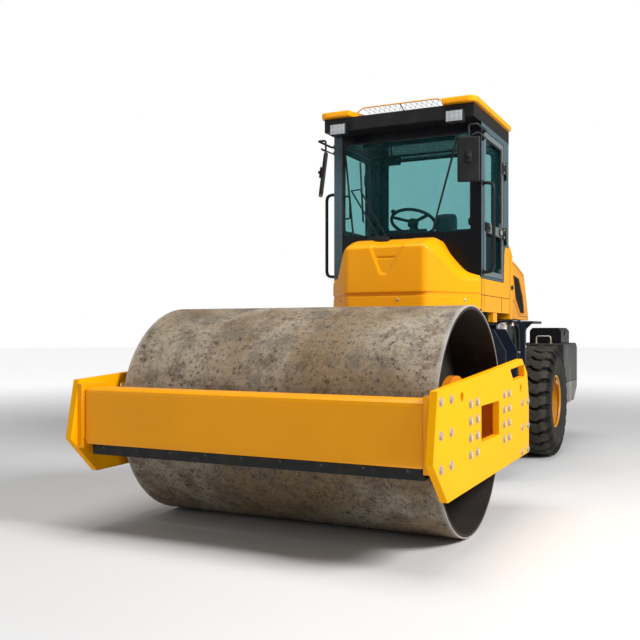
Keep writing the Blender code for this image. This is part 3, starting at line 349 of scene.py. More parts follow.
@dataclass(frozen=True)
class CabPaint(Paint):
    """The cab's shell: black, with its outer side faces in a second colour, which is also painted on the
    right front pillar as a sky reflection.
    """

    side_colour: tuple[float, float, float] = (0.3, 0.3, 0.3)
    beyond: float = 0.65

    def tint(self, graph: Graph) -> Wire:
        """Black, the second colour on the outer side faces above the sill, and the same colour on the right
        front pillar's face above the sill as a painted sky reflection.
        """
        side = (abs(graph.axis("x")) > self.beyond) * (abs(graph.facing("x")) > 0.7)
        # Painted reflection: the right front pillar's face gets the side colour to stand for the sky seen
        # in it, while the left pillar stays black.
        sky_reflection_pillar = (abs(graph.axis("x")) > self.beyond - 0.075) * (graph.facing("y") * -1.0 > 0.7)
        sky_reflection_pillar = sky_reflection_pillar * (graph.axis("x") * -1.0 > 0.0)
        mask = (side + sky_reflection_pillar) * graph.axis("z").step(1.66, 1.68)
        return graph.blend(mask, super().tint(graph), self.side_colour)


@dataclass(frozen=True)
class DoorPaint(Paint):
    """The door's frame, with black hinges that stand past a distance from the middle."""

    beyond: float = 0.65

    def tint(self, graph: Graph) -> Wire:
        """The frame's colour, black on its hinges."""
        scuffs = graph.noise(38.0, 7.0, 0.75).step(0.52, 0.60) * 0.5
        colour = graph.blend(scuffs, super().tint(graph), (0.10, 0.12, 0.13))
        return graph.blend(abs(graph.axis("x")) > self.beyond, colour, (0.012, 0.012, 0.014))


@dataclass(frozen=True)
class RolledSteel(Finish):
    """The drum's bare steel: dusty beige over brown and blue-grey patches, pitted and scratched, painted
    almost black inside as shade, with a painted highlight round its end edges.
    """

    drum_radius: float = DRUM_AXLE[1]

    def surface(self, graph: Graph) -> None:
        """Builds the nodes."""
        broad = graph.noise(1.3, 4.0, 0.58)
        clouds = graph.noise(5.0, 9.0, 0.74)
        rust = graph.noise(8.0, 9.0, 0.76)
        speckle = graph.noise(38.0, 8.0, 0.84)
        grains = graph.noise(120.0, 5.0, 0.80)
        colour = graph.blend(broad.step(0.40, 0.60), (0.310, 0.262, 0.195), (0.195, 0.132, 0.068))
        colour = graph.blend(clouds.step(0.47, 0.60) * 0.70, colour, (0.120, 0.100, 0.078))
        colour = graph.blend(rust.step(0.52, 0.60) * 0.60, colour, (0.110, 0.060, 0.024))
        colour = graph.blend(speckle.step(0.53, 0.58) * 0.85, colour, (0.026, 0.020, 0.016))
        colour = graph.blend(grains.step(0.57, 0.65) * 0.70, colour, (0.50, 0.44, 0.34))
        dents = graph.cells(12.0).step(0.05, 0.26)
        spots = (1.0 - dents) * rust.step(0.44, 0.54)
        colour = graph.blend(spots * 0.85, colour, (0.034, 0.027, 0.022))
        spoke = {1: graph.axis("y") - DRUM_AXLE[0], 2: graph.axis("z") - DRUM_AXLE[1]}
        away = graph.node("ShaderNodeCombineXYZ", {}, spoke)
        radial = graph.node("ShaderNodeVectorMath", {"operation": "LENGTH"}, {0: away}, 1)
        # Painted shade: the faces inside the drum's skin are made almost black, standing for the shade in
        # the hollow drum.
        inside = 1.0 - radial.step(self.drum_radius - DRUM_SKIN, self.drum_radius - DRUM_SKIN / 2)
        # Painted highlight: a pale grey band round the outer skin at each end of the drum, standing for
        # light caught by its end edges.
        rim = abs(graph.axis("x")).step(*DRUM_EDGE) * (1.0 - inside)
        colour = graph.blend(rim * 0.6, colour, (0.42, 0.41, 0.40))
        colour = graph.blend(inside * 0.96, colour, (0.008, 0.006, 0.005))
        height = speckle * 0.6 + grains * 0.5 + dents * 0.8 + rust
        graph.feed(
            Base_Color=colour,
            Roughness=0.80 - clouds.step(0.5, 0.7) * 0.20,
            Metallic=clouds.step(0.5, 0.7) * 0.25,
            Normal=graph.bump(height, 0.55, 0.0022),
        )


@dataclass(frozen=True)
class BareMetal(Finish):
    """Zinc, chrome or castings, with grain and stains."""

    grain: float = 90.0
    stain: tuple[float, float, float] = (0.16, 0.11, 0.07)
    stained: float = 0.3

    def surface(self, graph: Graph) -> None:
        """Builds the nodes."""
        normal, edge = graph.edges(0.002)
        stains = graph.noise(22.0, 6.0, 0.7).step(0.5, 0.72) * self.stained
        colour = graph.blend(stains, self.colour, self.stain)
        colour = graph.blend(edge * 0.4, colour, tuple(min(1.0, c * 1.5) for c in self.colour))
        graph.feed(
            Base_Color=colour,
            Roughness=stains * 0.5 + self.rough,
            Metallic=self.metal,
            Normal=graph.bump(graph.noise(self.grain, 5.0, 0.7), 0.25, 0.0010, normal),
        )


@dataclass(frozen=True)
class Rubber(Finish):
    """Tyre and seal rubber, with dry dust held in its pores."""

    dust: float = 0.5

    def surface(self, graph: Graph) -> None:
        """Builds the nodes."""
        dusty = graph.noise(13.0, 7.0, 0.7).step(0.38, 0.75) * self.dust
        fine = graph.noise(260.0, 4.0, 0.7)
        colour = graph.blend(dusty, self.colour, (0.135, 0.115, 0.090))
        graph.feed(Base_Color=colour, Roughness=dusty * 0.15 + self.rough, Metallic=0.0,
                   Specular_IOR_Level=0.25,
                   Normal=graph.bump(fine, 0.35, 0.0008))


@dataclass(frozen=True)
class TreadRubber(Rubber):
    """Tyre rubber with dust on its lugs' tops and clean dark grooves, both round the wheel's axle."""

    axle: tuple[float, float] = (1.57, 0.545)
    groove: float = 0.506
    top: float = 0.541

    def surface(self, graph: Graph) -> None:
        """Builds the nodes."""
        flat = {1: graph.axis("y") - self.axle[0], 2: graph.axis("z") - self.axle[1]}
        spoke = graph.node("ShaderNodeCombineXYZ", {}, flat)
        reach = graph.node("ShaderNodeVectorMath", {"operation": "LENGTH"}, {0: spoke}, 1)
        tops = reach.step(self.groove, self.top)
        walls = 1.0 - reach.step(0.40, 0.45)
        patchy = graph.noise(17.0, 7.0, 0.7).step(0.35, 0.70)
        dusty = (tops * 0.75 + walls * 0.35) * (patchy * 0.6 + 0.4) * self.dust
        colour = graph.blend(dusty, self.colour, (0.150, 0.135, 0.105))
        ribs = graph.node("ShaderNodeMath", {"operation": "SINE"}, {0: reach * 420.0}) * walls
        height = graph.noise(260.0, 4.0, 0.7) + ribs * 0.6
        graph.feed(Base_Color=colour, Roughness=dusty * 0.15 + self.rough, Metallic=0.0,
                   Specular_IOR_Level=0.25,
                   Normal=graph.bump(height, 0.40, 0.0010))


@dataclass(frozen=True)
class Moulded(Finish):
    """Moulded plastic with a leathery grain."""

    grain: float = 320.0

    def surface(self, graph: Graph) -> None:
        """Builds the nodes."""
        normal, edge = graph.edges(0.003)
        tone = graph.noise(7.0, 5.0).step(0.4, 0.8)
        colour = graph.blend(tone, self.colour, tuple(c * 1.6 + 0.002 for c in self.colour))
        graph.feed(Base_Color=graph.blend(edge * 0.30, colour, (0.05, 0.05, 0.05)),
                   Roughness=tone * 0.12 + self.rough,
                   Metallic=0.0, Specular_IOR_Level=0.28,
                   Normal=graph.bump(graph.cells(self.grain), 0.30, 0.0006, normal))


@dataclass(frozen=True)
class Woven(Finish):
    """Seat cloth: crossed threads, with a faded nap."""

    threads: float = 2600.0

    def surface(self, graph: Graph) -> None:
        """Builds the nodes."""
        strands = []
        for letter in "xz":
            across = graph.axis(letter) + graph.axis("y") * 0.5
            strands.append(graph.node("ShaderNodeMath", {"operation": "SINE"}, {0: across * self.threads}))
        weave = strands[0] * strands[1]
        nap = graph.noise(16.0, 5.0).step(0.4, 0.75)
        colour = graph.blend(nap * 0.6, self.colour, tuple(c * 2.2 + 0.01 for c in self.colour))
        colour = graph.blend(weave.step(-0.6, 0.9) * 0.5, colour, tuple(c * 0.5 for c in self.colour))
        graph.feed(Base_Color=colour, Roughness=self.rough, Metallic=0.0, Sheen_Weight=0.35,
                   Normal=graph.bump(weave, 0.45, 0.0008))


@dataclass(frozen=True)
class Pane(Finish):
    """Tinted safety glass: a tinted view through it under a thin gloss and a little road film."""

    tint: tuple[float, float, float] = (0.68, 0.86, 0.86)
    body: float = 0.10

    def surface(self, graph: Graph) -> None:
        """Builds the nodes."""
        film = graph.noise(4.0, 7.0, 0.7, (1.0, 1.0, 0.35)).step(0.45, 0.85)
        graph.feed(Base_Color=graph.blend(film * 0.5, self.colour,
                                          tuple(c * 1.5 + 0.02 for c in self.colour)),
                   Roughness=film * 0.10 + self.rough, Metallic=0.0)
        through = graph.node("ShaderNodeBsdfTransparent", {}, {0: (*self.tint, 1.0)})
        opaque = Wire(graph, graph.shader.outputs[0])
        both = graph.node("ShaderNodeMixShader", {}, {0: film * 0.08 + self.body, 1: through, 2: opaque})
        graph.tree.links.new(both.socket, graph.tree.nodes["Material Output"].inputs[0])


@dataclass(frozen=True)
class Glow(Finish):
    """A lamp's lit-looking face."""

    light: float = 0.3

    def surface(self, graph: Graph) -> None:
        """Builds the nodes."""
        facets = graph.cells(150.0, 0.2)
        graph.feed(Base_Color=graph.blend(facets.step(0.1, 0.6), self.colour,
                                          tuple(c * 0.7 for c in self.colour)),
                   Roughness=self.rough, Metallic=0.0, Emission_Color=self.colour,
                   Emission_Strength=self.light,
                   Normal=graph.bump(facets, 0.4, 0.002))


YELLOW = (0.87, 0.345, 0.001)
# Painted light: the side plates carry the body's yellow paint, made brighter and more yellow here because
# the key light falls on them.
LIT_PLATE_YELLOW = (0.92, 0.400, 0.001)
ZINC = BareMetal("zinc", (0.50, 0.43, 0.34), 0.42, 0.55, stained=0.45)
CHROME = BareMetal("chrome", (0.58, 0.63, 0.68), 0.24, 0.65, grain=30.0, stained=0.15)
CAST = BareMetal("cast_iron", (0.085, 0.085, 0.090), 0.58, 0.6, stained=0.5)
BODY_PAINT = Paint("yellow_paint", YELLOW, 0.34, dust=0.04, gloss=0.18, coat=0.04)
# The plates' paint uses the lit copy of the yellow: painted light.
PLATE_PAINT = PlatePaint("yellow_plate", LIT_PLATE_YELLOW, 0.46, dust=0.03, gloss=0.03, coat=0.0, beyond=1.1655)
# Painted shade: the drum mounts and hub covers are yellow paint, given here as a deeper orange copy of the
# yellow that stands for the shade inside the drum.
SHADED_YELLOW_PAINT = Paint("orange_paint", (0.80, 0.24, 0.006), 0.42, dust=0.45)
RIM_PAINT = Paint("rim_paint", (0.56, 0.235, 0.004), 0.45, dust=0.5)
NAVY_PAINT = Paint("navy_paint", (0.009, 0.015, 0.028), 0.34, dust=0.18, gloss=0.25, coat=0.05,
                   worn=(0.10, 0.10, 0.11))
BLACK_PAINT = Paint("black_paint", (0.006, 0.007, 0.008), 0.34, dust=0.07, gloss=0.22, coat=0.05,
                    worn=(0.12, 0.11, 0.10))
GREEN_PAINT = TailPaint("dark_green_paint", (0.020, 0.023, 0.021), 0.46, dust=0.15, gloss=0.25,
                        worn=(0.16, 0.15, 0.13))
# Its side colour also stands for the sky reflected in the right front pillar: painted reflection.
CAB_PAINT = CabPaint("cab_paint", (0.003, 0.004, 0.006), 0.28, dust=0.0, gloss=0.18, coat=0.04,
                     worn=(0.08, 0.08, 0.08), side_colour=(0.055, 0.095, 0.115), beyond=0.652)
DOOR_PAINT = DoorPaint("door_paint", (0.13, 0.155, 0.16), 0.30, dust=0.0, worn=(0.6, 0.6, 0.6),
                       beyond=0.654)
DRUM_STEEL = RolledSteel("worn_steel", (0.3, 0.25, 0.18))
TYRE = TreadRubber("tyre_rubber", (0.008, 0.0075, 0.007), 0.80, dust=0.55)
SEAL = Rubber("seal_rubber", (0.010, 0.010, 0.011), 0.62, dust=0.08)
PLASTIC = Moulded("black_plastic", (0.006, 0.006, 0.007), 0.42)
MESH_METAL = BareMetal("black_mesh", (0.030, 0.030, 0.033), 0.50, 0.4, stained=0.3)
CLOTH = Woven("black_fabric", (0.022, 0.022, 0.026), 0.86)
GLASS = Pane("glass", (0.02, 0.11, 0.13), 0.04)
LAMP_FACE = Glow("lamp_white", (0.52, 0.55, 0.58), 0.25, light=0.25)
RED_LENS = Glow("lamp_red", (0.62, 0.02, 0.015), 0.22, light=0.08)
AMBER_LENS = Glow("lamp_amber", (0.85, 0.30, 0.02), 0.22, light=0.08)
MIRROR_GLASS = BareMetal("mirror_glass", (0.80, 0.84, 0.86), 0.05, 1.0, grain=2.0, stained=0.02)
DARK = Finish("dark_inside", (0.004, 0.004, 0.005), 0.9)

CAD_FINISHES: dict[Finish, tuple[str, ...]] = {
    PLATE_PAINT: ("side_plate_left", "side_plate_right"),
    BODY_PAINT: ("front_beam", "rear_crossmember", "hood", "hood_bulkhead", "side_panel_left",
                 "side_panel_right", "roof"),
    # The drum mounts take the shaded copy of the yellow paint: painted shade.
    SHADED_YELLOW_PAINT: ("drum_mount_left", "drum_mount_right"),
    RIM_PAINT: ("rim_left", "rim_right"),
    NAVY_PAINT: ("chassis", "fender_left", "fender_right", "step_left", "step_right"),
    BLACK_PAINT: ("cab_platform", "handrail_left", "handrail_right", "hydraulic_tank", "fuel_tank",
                  "locker_left",
                  "locker_right", "scraper_front", "scraper_rear", "seat_base", "steer_barrel_left",
                  "steer_barrel_right"),
    CAB_PAINT: ("cab_frame",),
    GREEN_PAINT: ("counterweight",),
    DOOR_PAINT: ("door_left", "door_right"),
    DRUM_STEEL: ("drum",),
    CHROME: ("steer_rod_left", "steer_rod_right"),
    CAST: ("hitch", "rear_axle", "engine_block", "exhaust_stack"),
    PLASTIC: ("cab_floor", "dashboard", "mirror_left", "mirror_right", "roof_liner", "steering_wheel"),
    MESH_METAL: ("hood_grille_left", "hood_grille_right"),
    GLASS: ("windscreen", "rear_window", "door_glass_left", "door_glass_right"),
}


# ------------------------------------------------------------------ mesh making
def aim(place: Point, direction: Point) -> Matrix:
    """The placing that turns +X to a direction and moves the origin to a place."""
    turn = Vector((1, 0, 0)).rotation_difference(Vector(direction).normalized())
    return Matrix.Translation(Vector(place)) @ turn.to_matrix().to_4x4()


def arc_path(corners: Sequence[Point], radius: float, steps: int = 5) -> list[Vector]:
    """Corner points with every inner corner rounded.

    Args:
        corners: the points in order.
        radius: how far from a corner its curve starts.
        steps: runs in each curve.

    Returns:
        The points of the rounded path.
    """
    points = [Vector(c) for c in corners]
    path = [points[0]]
    for before, corner, after in zip(points, points[1:], points[2:]):
        reach = min(radius, (before - corner).length * 0.49, (after - corner).length * 0.49)
        start = corner + (before - corner).normalized() * reach
        end = corner + (after - corner).normalized() * reach
        for i in range(steps + 1):
            t = i / steps
            path.append(start * (1 - t) ** 2 + corner * 2 * t * (1 - t) + end * t**2)
    path.append(points[-1])
    return path


class Mold:
    """One piece being made: shapes are added, then it is set on its body."""

    def __init__(self, name: str, side: Side = Side.LEFT) -> None:
        """Starts an empty piece; on the right side its shapes are mirrored."""
        self.name = name
        self.side = side
        self.bm = bmesh.new()

    def take(self, shape: bmesh.types.BMesh, place: Matrix | None = None) -> "Mold":
        """Adds a closed shape, its faces turned outwards.

        Args:
            shape: the shape, which is used up.
            place: where it goes.

        Returns:
            This piece.
        """
        bmesh.ops.recalc_face_normals(shape, faces=shape.faces)
        if shape.calc_volume(signed=True) < 0:
            bmesh.ops.reverse_faces(shape, faces=shape.faces)
        if place:
            shape.transform(place)
        mesh = bpy.data.meshes.new("shape")
        shape.to_mesh(mesh)
        shape.free()
        self.bm.from_mesh(mesh)
        bpy.data.meshes.remove(mesh)
        return self

    def box(self, low: Point, high: Point, bevel: float = 0.0, steps: int = 2,
            place: Matrix | None = None) -> "Mold":
        """Adds a box between two corners, its edges rounded by bevel."""
        bm = bmesh.new()
        bmesh.ops.create_cube(bm, size=1)
        for v in bm.verts:
            for i in range(3):
                v.co[i] = low[i] if v.co[i] < 0 else high[i]
        if bevel:
            bmesh.ops.bevel(bm, geom=bm.edges, offset=bevel, segments=steps, profile=0.6, affect="EDGES")
        return self.take(bm, place)

    def slab(self, outline: Sequence[Point], axis: str, span: Point, bevel: float = 0.0,
             place: Matrix | None = None) -> "Mold":
        """Adds an outline of two coordinates, swept along the third axis.

        Args:
            outline: the corners.
            axis: the axis swept along.
            span: the two ends.
            bevel: how far the edges are rounded.
            place: where it goes.

        Returns:
            This piece.
        """
        order = {"x": (2, 0, 1), "y": (0, 2, 1), "z": (0, 1, 2)}[axis]
        bm = bmesh.new()
        rings = []
        for end in span:
            rings.append([bm.verts.new([(a, b, end)[i] for i in order]) for a, b in outline])
        bm.faces.new(rings[0])
        bm.faces.new(rings[1])
        for i in range(len(outline)):
            j = (i + 1) % len(outline)
            bm.faces.new((rings[0][i], rings[0][j], rings[1][j], rings[1][i]))
        if bevel:
            bmesh.ops.bevel(bm, geom=bm.edges, offset=bevel, segments=2, profile=0.6, affect="EDGES")
        return self.take(bm, place)

    def lathe(self, profile: Sequence[Point], place: Matrix, sides: int = 32) -> "Mold":
        """Adds a profile of (along, radius) pairs turned about its place's X axis."""
        bm = bmesh.new()
        rings = []
        for along, radius in profile:
            if radius == 0:
                rings.append([bm.verts.new((along, 0, 0))])
                continue
            turn = [2 * math.pi * i / sides for i in range(sides)]
            rings.append([bm.verts.new((along, radius * math.cos(a), radius * math.sin(a))) for a in turn])
        loops = len(rings) if profile[0][1] else len(rings) - 1
        for k in range(loops):
            low, high = rings[k], rings[(k + 1) % len(rings)]
            for i in range(sides):
                j = (i + 1) % sides
                corners = [low[i % len(low)], low[j % len(low)], high[j % len(high)], high[i % len(high)]]
                if len(set(corners)) > 2:
                    bm.faces.new(list(dict.fromkeys(corners)))
        return self.take(bm, place)

    def tube(self, path: Sequence[Point], radius: float, sides: int = 10, closed: bool = False) -> "Mold":
        """Adds a round bar along a path.

        Args:
            path: the points of its centreline.
            radius: its radius.
            sides: faces around it.
            closed: whether its ends join.

        Returns:
            This piece.
        """
        points = [Vector(p) for p in path]
        bm = bmesh.new()
        rings, side = [], None
        count = len(points)
        for i, point in enumerate(points):
            before = point - points[i - 1] if closed or i else points[1] - point
            after = points[(i + 1) % count] - point if closed or i + 1 < count else before
            before, after = before.normalized(), after.normalized()
            along = (before + after).normalized()
            if side is None:
                side = along.orthogonal().normalized()
            side = (side - along * side.dot(along)).normalized()
            up = along.cross(side)
            wide = radius / max(0.6, along.dot(before))
            turn = [2 * math.pi * (k + 0.5) / sides for k in range(sides)]
            spokes = [side * math.cos(a) + up * math.sin(a) for a in turn]
            rings.append([bm.verts.new(point + wide * spoke) for spoke in spokes])
        if closed:
            rings.append(rings[0])
        else:
            bm.faces.new(rings[0])
            bm.faces.new(rings[-1])
        for low, high in zip(rings, rings[1:]):
            for k in range(sides):
                j = (k + 1) % sides
                bm.faces.new((low[k], low[j], high[j], high[k]))
        return self.take(bm)

    def bolt(self, place: Point, direction: Point, radius: float, height: float) -> "Mold":
        """Adds a washer and a chamfered hexagon head."""
        where = aim(place, direction)
        self.lathe([(-0.002, 0), (-0.002, radius * 1.35), (height * 0.18, radius * 1.35),
                    (height * 0.2, 0)], where, 20)
        head = [(0, 0), (0, radius), (height * 0.86, radius), (height, radius * 0.84), (height, 0)]
        return self.lathe(head, where, 6)

    def grid(self, points: np.ndarray, closed: tuple[bool, bool] = (False, False)) -> "Mold":
        """Adds an open or closed sheet of quads through rows of points, keeping its own facing."""
        rows, columns = points.shape[:2]
        verts = [[self.bm.verts.new(p) for p in row] for row in points]
        for i in range(rows if closed[0] else rows - 1):
            for j in range(columns if closed[1] else columns - 1):
                a, b = (i + 1) % rows, (j + 1) % columns
                self.bm.faces.new((verts[i][j], verts[a][j], verts[a][b], verts[i][b]))
        return self

    def lattice(self, outline: Sequence[Point], pitch: float, wire: float,
                onto: Callable[[float, float, float], Point],
                angles: Sequence[float] = (45.0, -45.0)) -> "Mold":
        """Adds crossed flat wires inside an outline.

        Args:
            outline: corners in two coordinates.
            pitch: distance between wires.
            wire: a wire's width.
            onto: gives a point from the two coordinates and a height.
            angles: the wires' directions, in degrees.

        Returns:
            This piece.
        """
        shape = np.array(outline)
        for layer, degrees in enumerate(angles):
            way = np.array((math.cos(math.radians(degrees)), math.sin(math.radians(degrees))))
            across = np.array((-way[1], way[0]))
            reach = shape @ across
            for place in np.arange(reach.min() + pitch / 2, reach.max(), pitch):
                hits = []
                for a, b in zip(shape, np.roll(shape, -1, axis=0)):
                    da, db = a @ across - place, b @ across - place
                    if da * db < 0:
                        hits.append(float((a + (b - a) * da / (da - db)) @ way))
                hits.sort()
                for start, end in zip(hits[::2], hits[1::2]):
                    if end - start > wire:
                        self._strip(way, across, place, (start, end), wire, layer * wire * 0.5, onto)
        return self

    def _strip(self, way: np.ndarray, across: np.ndarray, place: float, span: Point, wire: float,
               rise: float,
               onto: Callable[[float, float, float], Point]) -> None:
        """Adds one flat wire of the lattice."""
        bm = bmesh.new()
        corners = []
        for height in (rise, rise + wire * 0.6):
            for along, aside in ((span[0], -0.5), (span[1], -0.5), (span[1], 0.5), (span[0], 0.5)):
                flat = way * along + across * (place + aside * wire)
                corners.append(bm.verts.new(onto(float(flat[0]), float(flat[1]), height)))
        for face in ((0, 1, 2, 3), (4, 5, 6, 7), (0, 1, 5, 4), (1, 2, 6, 5), (2, 3, 7, 6), (3, 0, 4, 7)):
            bm.faces.new([corners[i] for i in face])
        self.take(bm)

    def set(self, finish: Finish, body: str, replaces: Sequence[str] = (),
            angle: float = 35.0) -> bpy.types.Object:
        """Makes the object, gives it its finish and sets it on its body.

        Args:
            finish: what its surface is.
            body: the CAD body that it rides.
            replaces: CAD nodes that it stands for.
            angle: edges sharper than this many degrees stay sharp.

        Returns:
            The object.
        """
        if self.side is Side.RIGHT:
            self.bm.transform(Matrix.Scale(-1, 4, (1, 0, 0)))
            bmesh.ops.reverse_faces(self.bm, faces=self.bm.faces)
        mesh = bpy.data.meshes.new(self.name)
        self.bm.to_mesh(mesh)
        self.bm.free()
        mesh.shade_smooth()
        mesh.set_sharp_from_angle(angle=math.radians(angle))
        obj = bpy.data.objects.new(self.name, mesh)
        bpy.context.scene.collection.objects.link(obj)
        mesh.materials.append(finish.material())
        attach(obj, body)
        if replaces:
            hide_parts(*replaces)
        LOG.info("%s on %s: %d faces, %s", self.name, body, len(mesh.polygons), finish.name)
        return obj


def named(stem: str, side: Side) -> str:
    """A piece's or node's name on one side."""
    return f"{stem}_{side.word}"


# ------------------------------------------------------------------ drum frame
@dataclass
class DrumFrame:
    """The yellow frame round the drum: bolts, welds, scraper hardware and the drum mounts' fittings."""

    head_radius: float = 0.0195
    head_height: float = 0.0115
    front_columns: tuple[Point, ...] = ((-0.96, -0.79), (0.89, 0.72, 0.55))
    tail_columns: tuple[Point, ...] = ((0.835, 1.010), (0.749, 0.580, 0.412))
    weld_radius: float = 0.006
    body: str = "drum_frame"

    def __post_init__(self) -> None:
        """Reads the plates', beam's and drum's places from the frame."""
        self.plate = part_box("side_plate_left")
        self.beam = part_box("front_beam")
        self.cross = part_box("rear_crossmember")
        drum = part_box("drum")
        self.axle = (drum[0] + drum[1]) / 2
        self.face = 1.165

    def plate_bolts(self, side: Side) -> None:
        """The zinc bolts at the plate's two ends, and washers under its middle bolts."""
        mold = Mold(named("plate_bolts", side), side)
        for ys, zs in (self.front_columns, self.tail_columns):
            for y in ys:
                for z in zs:
                    mold.bolt((self.face, self.axle.y + y, z), (1, 0, 0), self.head_radius,
                              self.head_height)
        washer = [(-0.002, 0.012), (-0.002, 0.028), (0.0032, 0.028), (0.0032, 0.012)]
        for y in (-0.435, -0.300, 0.330, 0.460):
            for z in (0.840, 0.745, 0.652, 0.557):
                mold.lathe(washer, aim((self.face, self.axle.y + y, z), (1, 0, 0)), 24)
        mold.set(ZINC, self.body)

    def welds(self) -> None:
        """The weld beads where the beams meet their end flanges."""
        mold = Mold("frame_welds")
        for sign in (1, -1):
            for low, high, inset in ((self.beam[0], self.beam[1], 0.030),
                                     (self.cross[0], self.cross[1], 0.030)):
                x = sign * (high.x - inset)
                z0, z1 = (0.585, 0.862) if high.y < self.axle.y else (0.47, 0.84)
                y0 = low.y + (0.020 if high.y < self.axle.y else 0.012)
                path = []
                for i in range(60):
                    wave = 0.0016 * math.sin(i * 2.1)
                    path.append((x - sign * 0.001, y0 - 0.001 + wave, z0 + (z1 - z0) * i / 59))
                mold.tube(path, self.weld_radius, 8)
        mold.set(BODY_PAINT, self.body, angle=60)

    def scraper_bolts(self) -> None:
        """Bolts along both scrapers."""
        mold = Mold("scraper_bolts")
        front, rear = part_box("scraper_front"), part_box("scraper_rear")
        for i in range(9):
            x = front[0].x + 0.09 + (front[1].x - front[0].x - 0.18) * i / 8
            mold.bolt((x, front[0].y, front[1].z - 0.020), (0, -1, 0), 0.006, 0.006)
            mold.bolt((x, rear[1].y, rear[1].z - 0.018), (0, 1, 0), 0.006, 0.006)
        mold.set(CAST, self.body)

    def hub(self, side: Side) -> None:
        """The drum mount's ring of bolts, its cover and its rubber buffers."""
        disc = 0.955
        bolts = Mold(named("hub_bolts", side), side)
        for i in range(12):
            angle = 2 * math.pi * i / 12
            spot = (disc, self.axle.y + 0.225 * math.sin(angle), self.axle.z + 0.225 * math.cos(angle))
            bolts.bolt(spot, (1, 0, 0), 0.013, 0.010)
        bolts.set(ZINC, self.body)
        cover = Mold(named("hub_cover", side), side)
        cover.lathe([(-0.004, 0), (-0.004, 0.150), (0.010, 0.150), (0.016, 0.140), (0.016, 0.070),
                     (0.030, 0.062),
                     (0.034, 0.045), (0.034, 0)], aim((disc, self.axle.y, self.axle.z), (1, 0, 0)), 48)
        # The cover takes the shaded copy of the yellow paint: painted shade.
        cover.set(SHADED_YELLOW_PAINT, self.body)
        rubber = Mold(named("buffers", side), side)
        for y in (-0.40, 0.40):
            for z in (0.60, 0.80):
                rubber.lathe([(-0.042, 0), (-0.042, 0.050), (-0.030, 0.045), (-0.010, 0.050),
                              (0.002, 0.050),
                              (0.002, 0)], aim((0.900, self.axle.y + y, z), (1, 0, 0)), 28)
        rubber.set(SEAL, self.body)

    def build(self) -> None:
        """Makes every piece of the drum frame."""
        for side in Side:
            self.plate_bolts(side)
            self.hub(side)
        self.welds()
        self.scraper_bolts()


# ------------------------------------------------------------------ hitch
@dataclass
class Steering:
    """What is fitted at the centre joint: kingpin caps, cylinder glands and grease nipples."""

    def build(self) -> None:
        """Makes the steering's small parts."""
        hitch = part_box("hitch")
        pin_y = -0.670
        cap = Mold("kingpin_caps")
        for z, up in ((hitch[1].z, 1), (hitch[0].z, -1)):
            place = aim((0, pin_y, z - up * 0.0005), (0, 0, up))
            cap.lathe([(-0.002, 0), (-0.002, 0.046), (-0.0006, 0.046), (-0.0006, 0)], place, 32)
            for i in range(4):
                a = math.pi / 4 + i * math.pi / 2
                spot = (0.028 * math.cos(a), pin_y + 0.028 * math.sin(a), z - up * 0.0045)
                cap.bolt(spot, (0, 0, up), 0.006, 0.0042)
        cap.set(ZINC, "hitch")
        for side in Side:
            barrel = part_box(named("steer_barrel", side))
            near = Vector((0.420, -0.700, 0.715))
            pivot = Vector((0.500, 0.250, 0.715))
            along = (near - pivot).normalized()
            gland = Mold(named("cylinder_gland", side), side)
            gland.lathe([(0.585, 0.0195), (0.585, 0.045), (0.594, 0.047), (0.606, 0.047), (0.606, 0.0195)],
                        aim(pivot, along), 32)
            gland.lathe([(0.086, 0.041), (0.086, 0.046), (0.104, 0.046), (0.104, 0.041)], aim(pivot, along),
                        32)
            for reach in (0.120, 0.560):
                spot = pivot + along * reach + Vector((0, 0, 0.040))
                gland.lathe([(0, 0), (0, 0.013), (0.022, 0.013), (0.026, 0.009), (0.026, 0)],
                            aim(spot, (0, 0, 1)), 12)
            gland.set(CAST, named("steer_barrel", side))
            LOG.info("barrel %s spans %.3f m", side.word, (barrel[1] - barrel[0]).length)


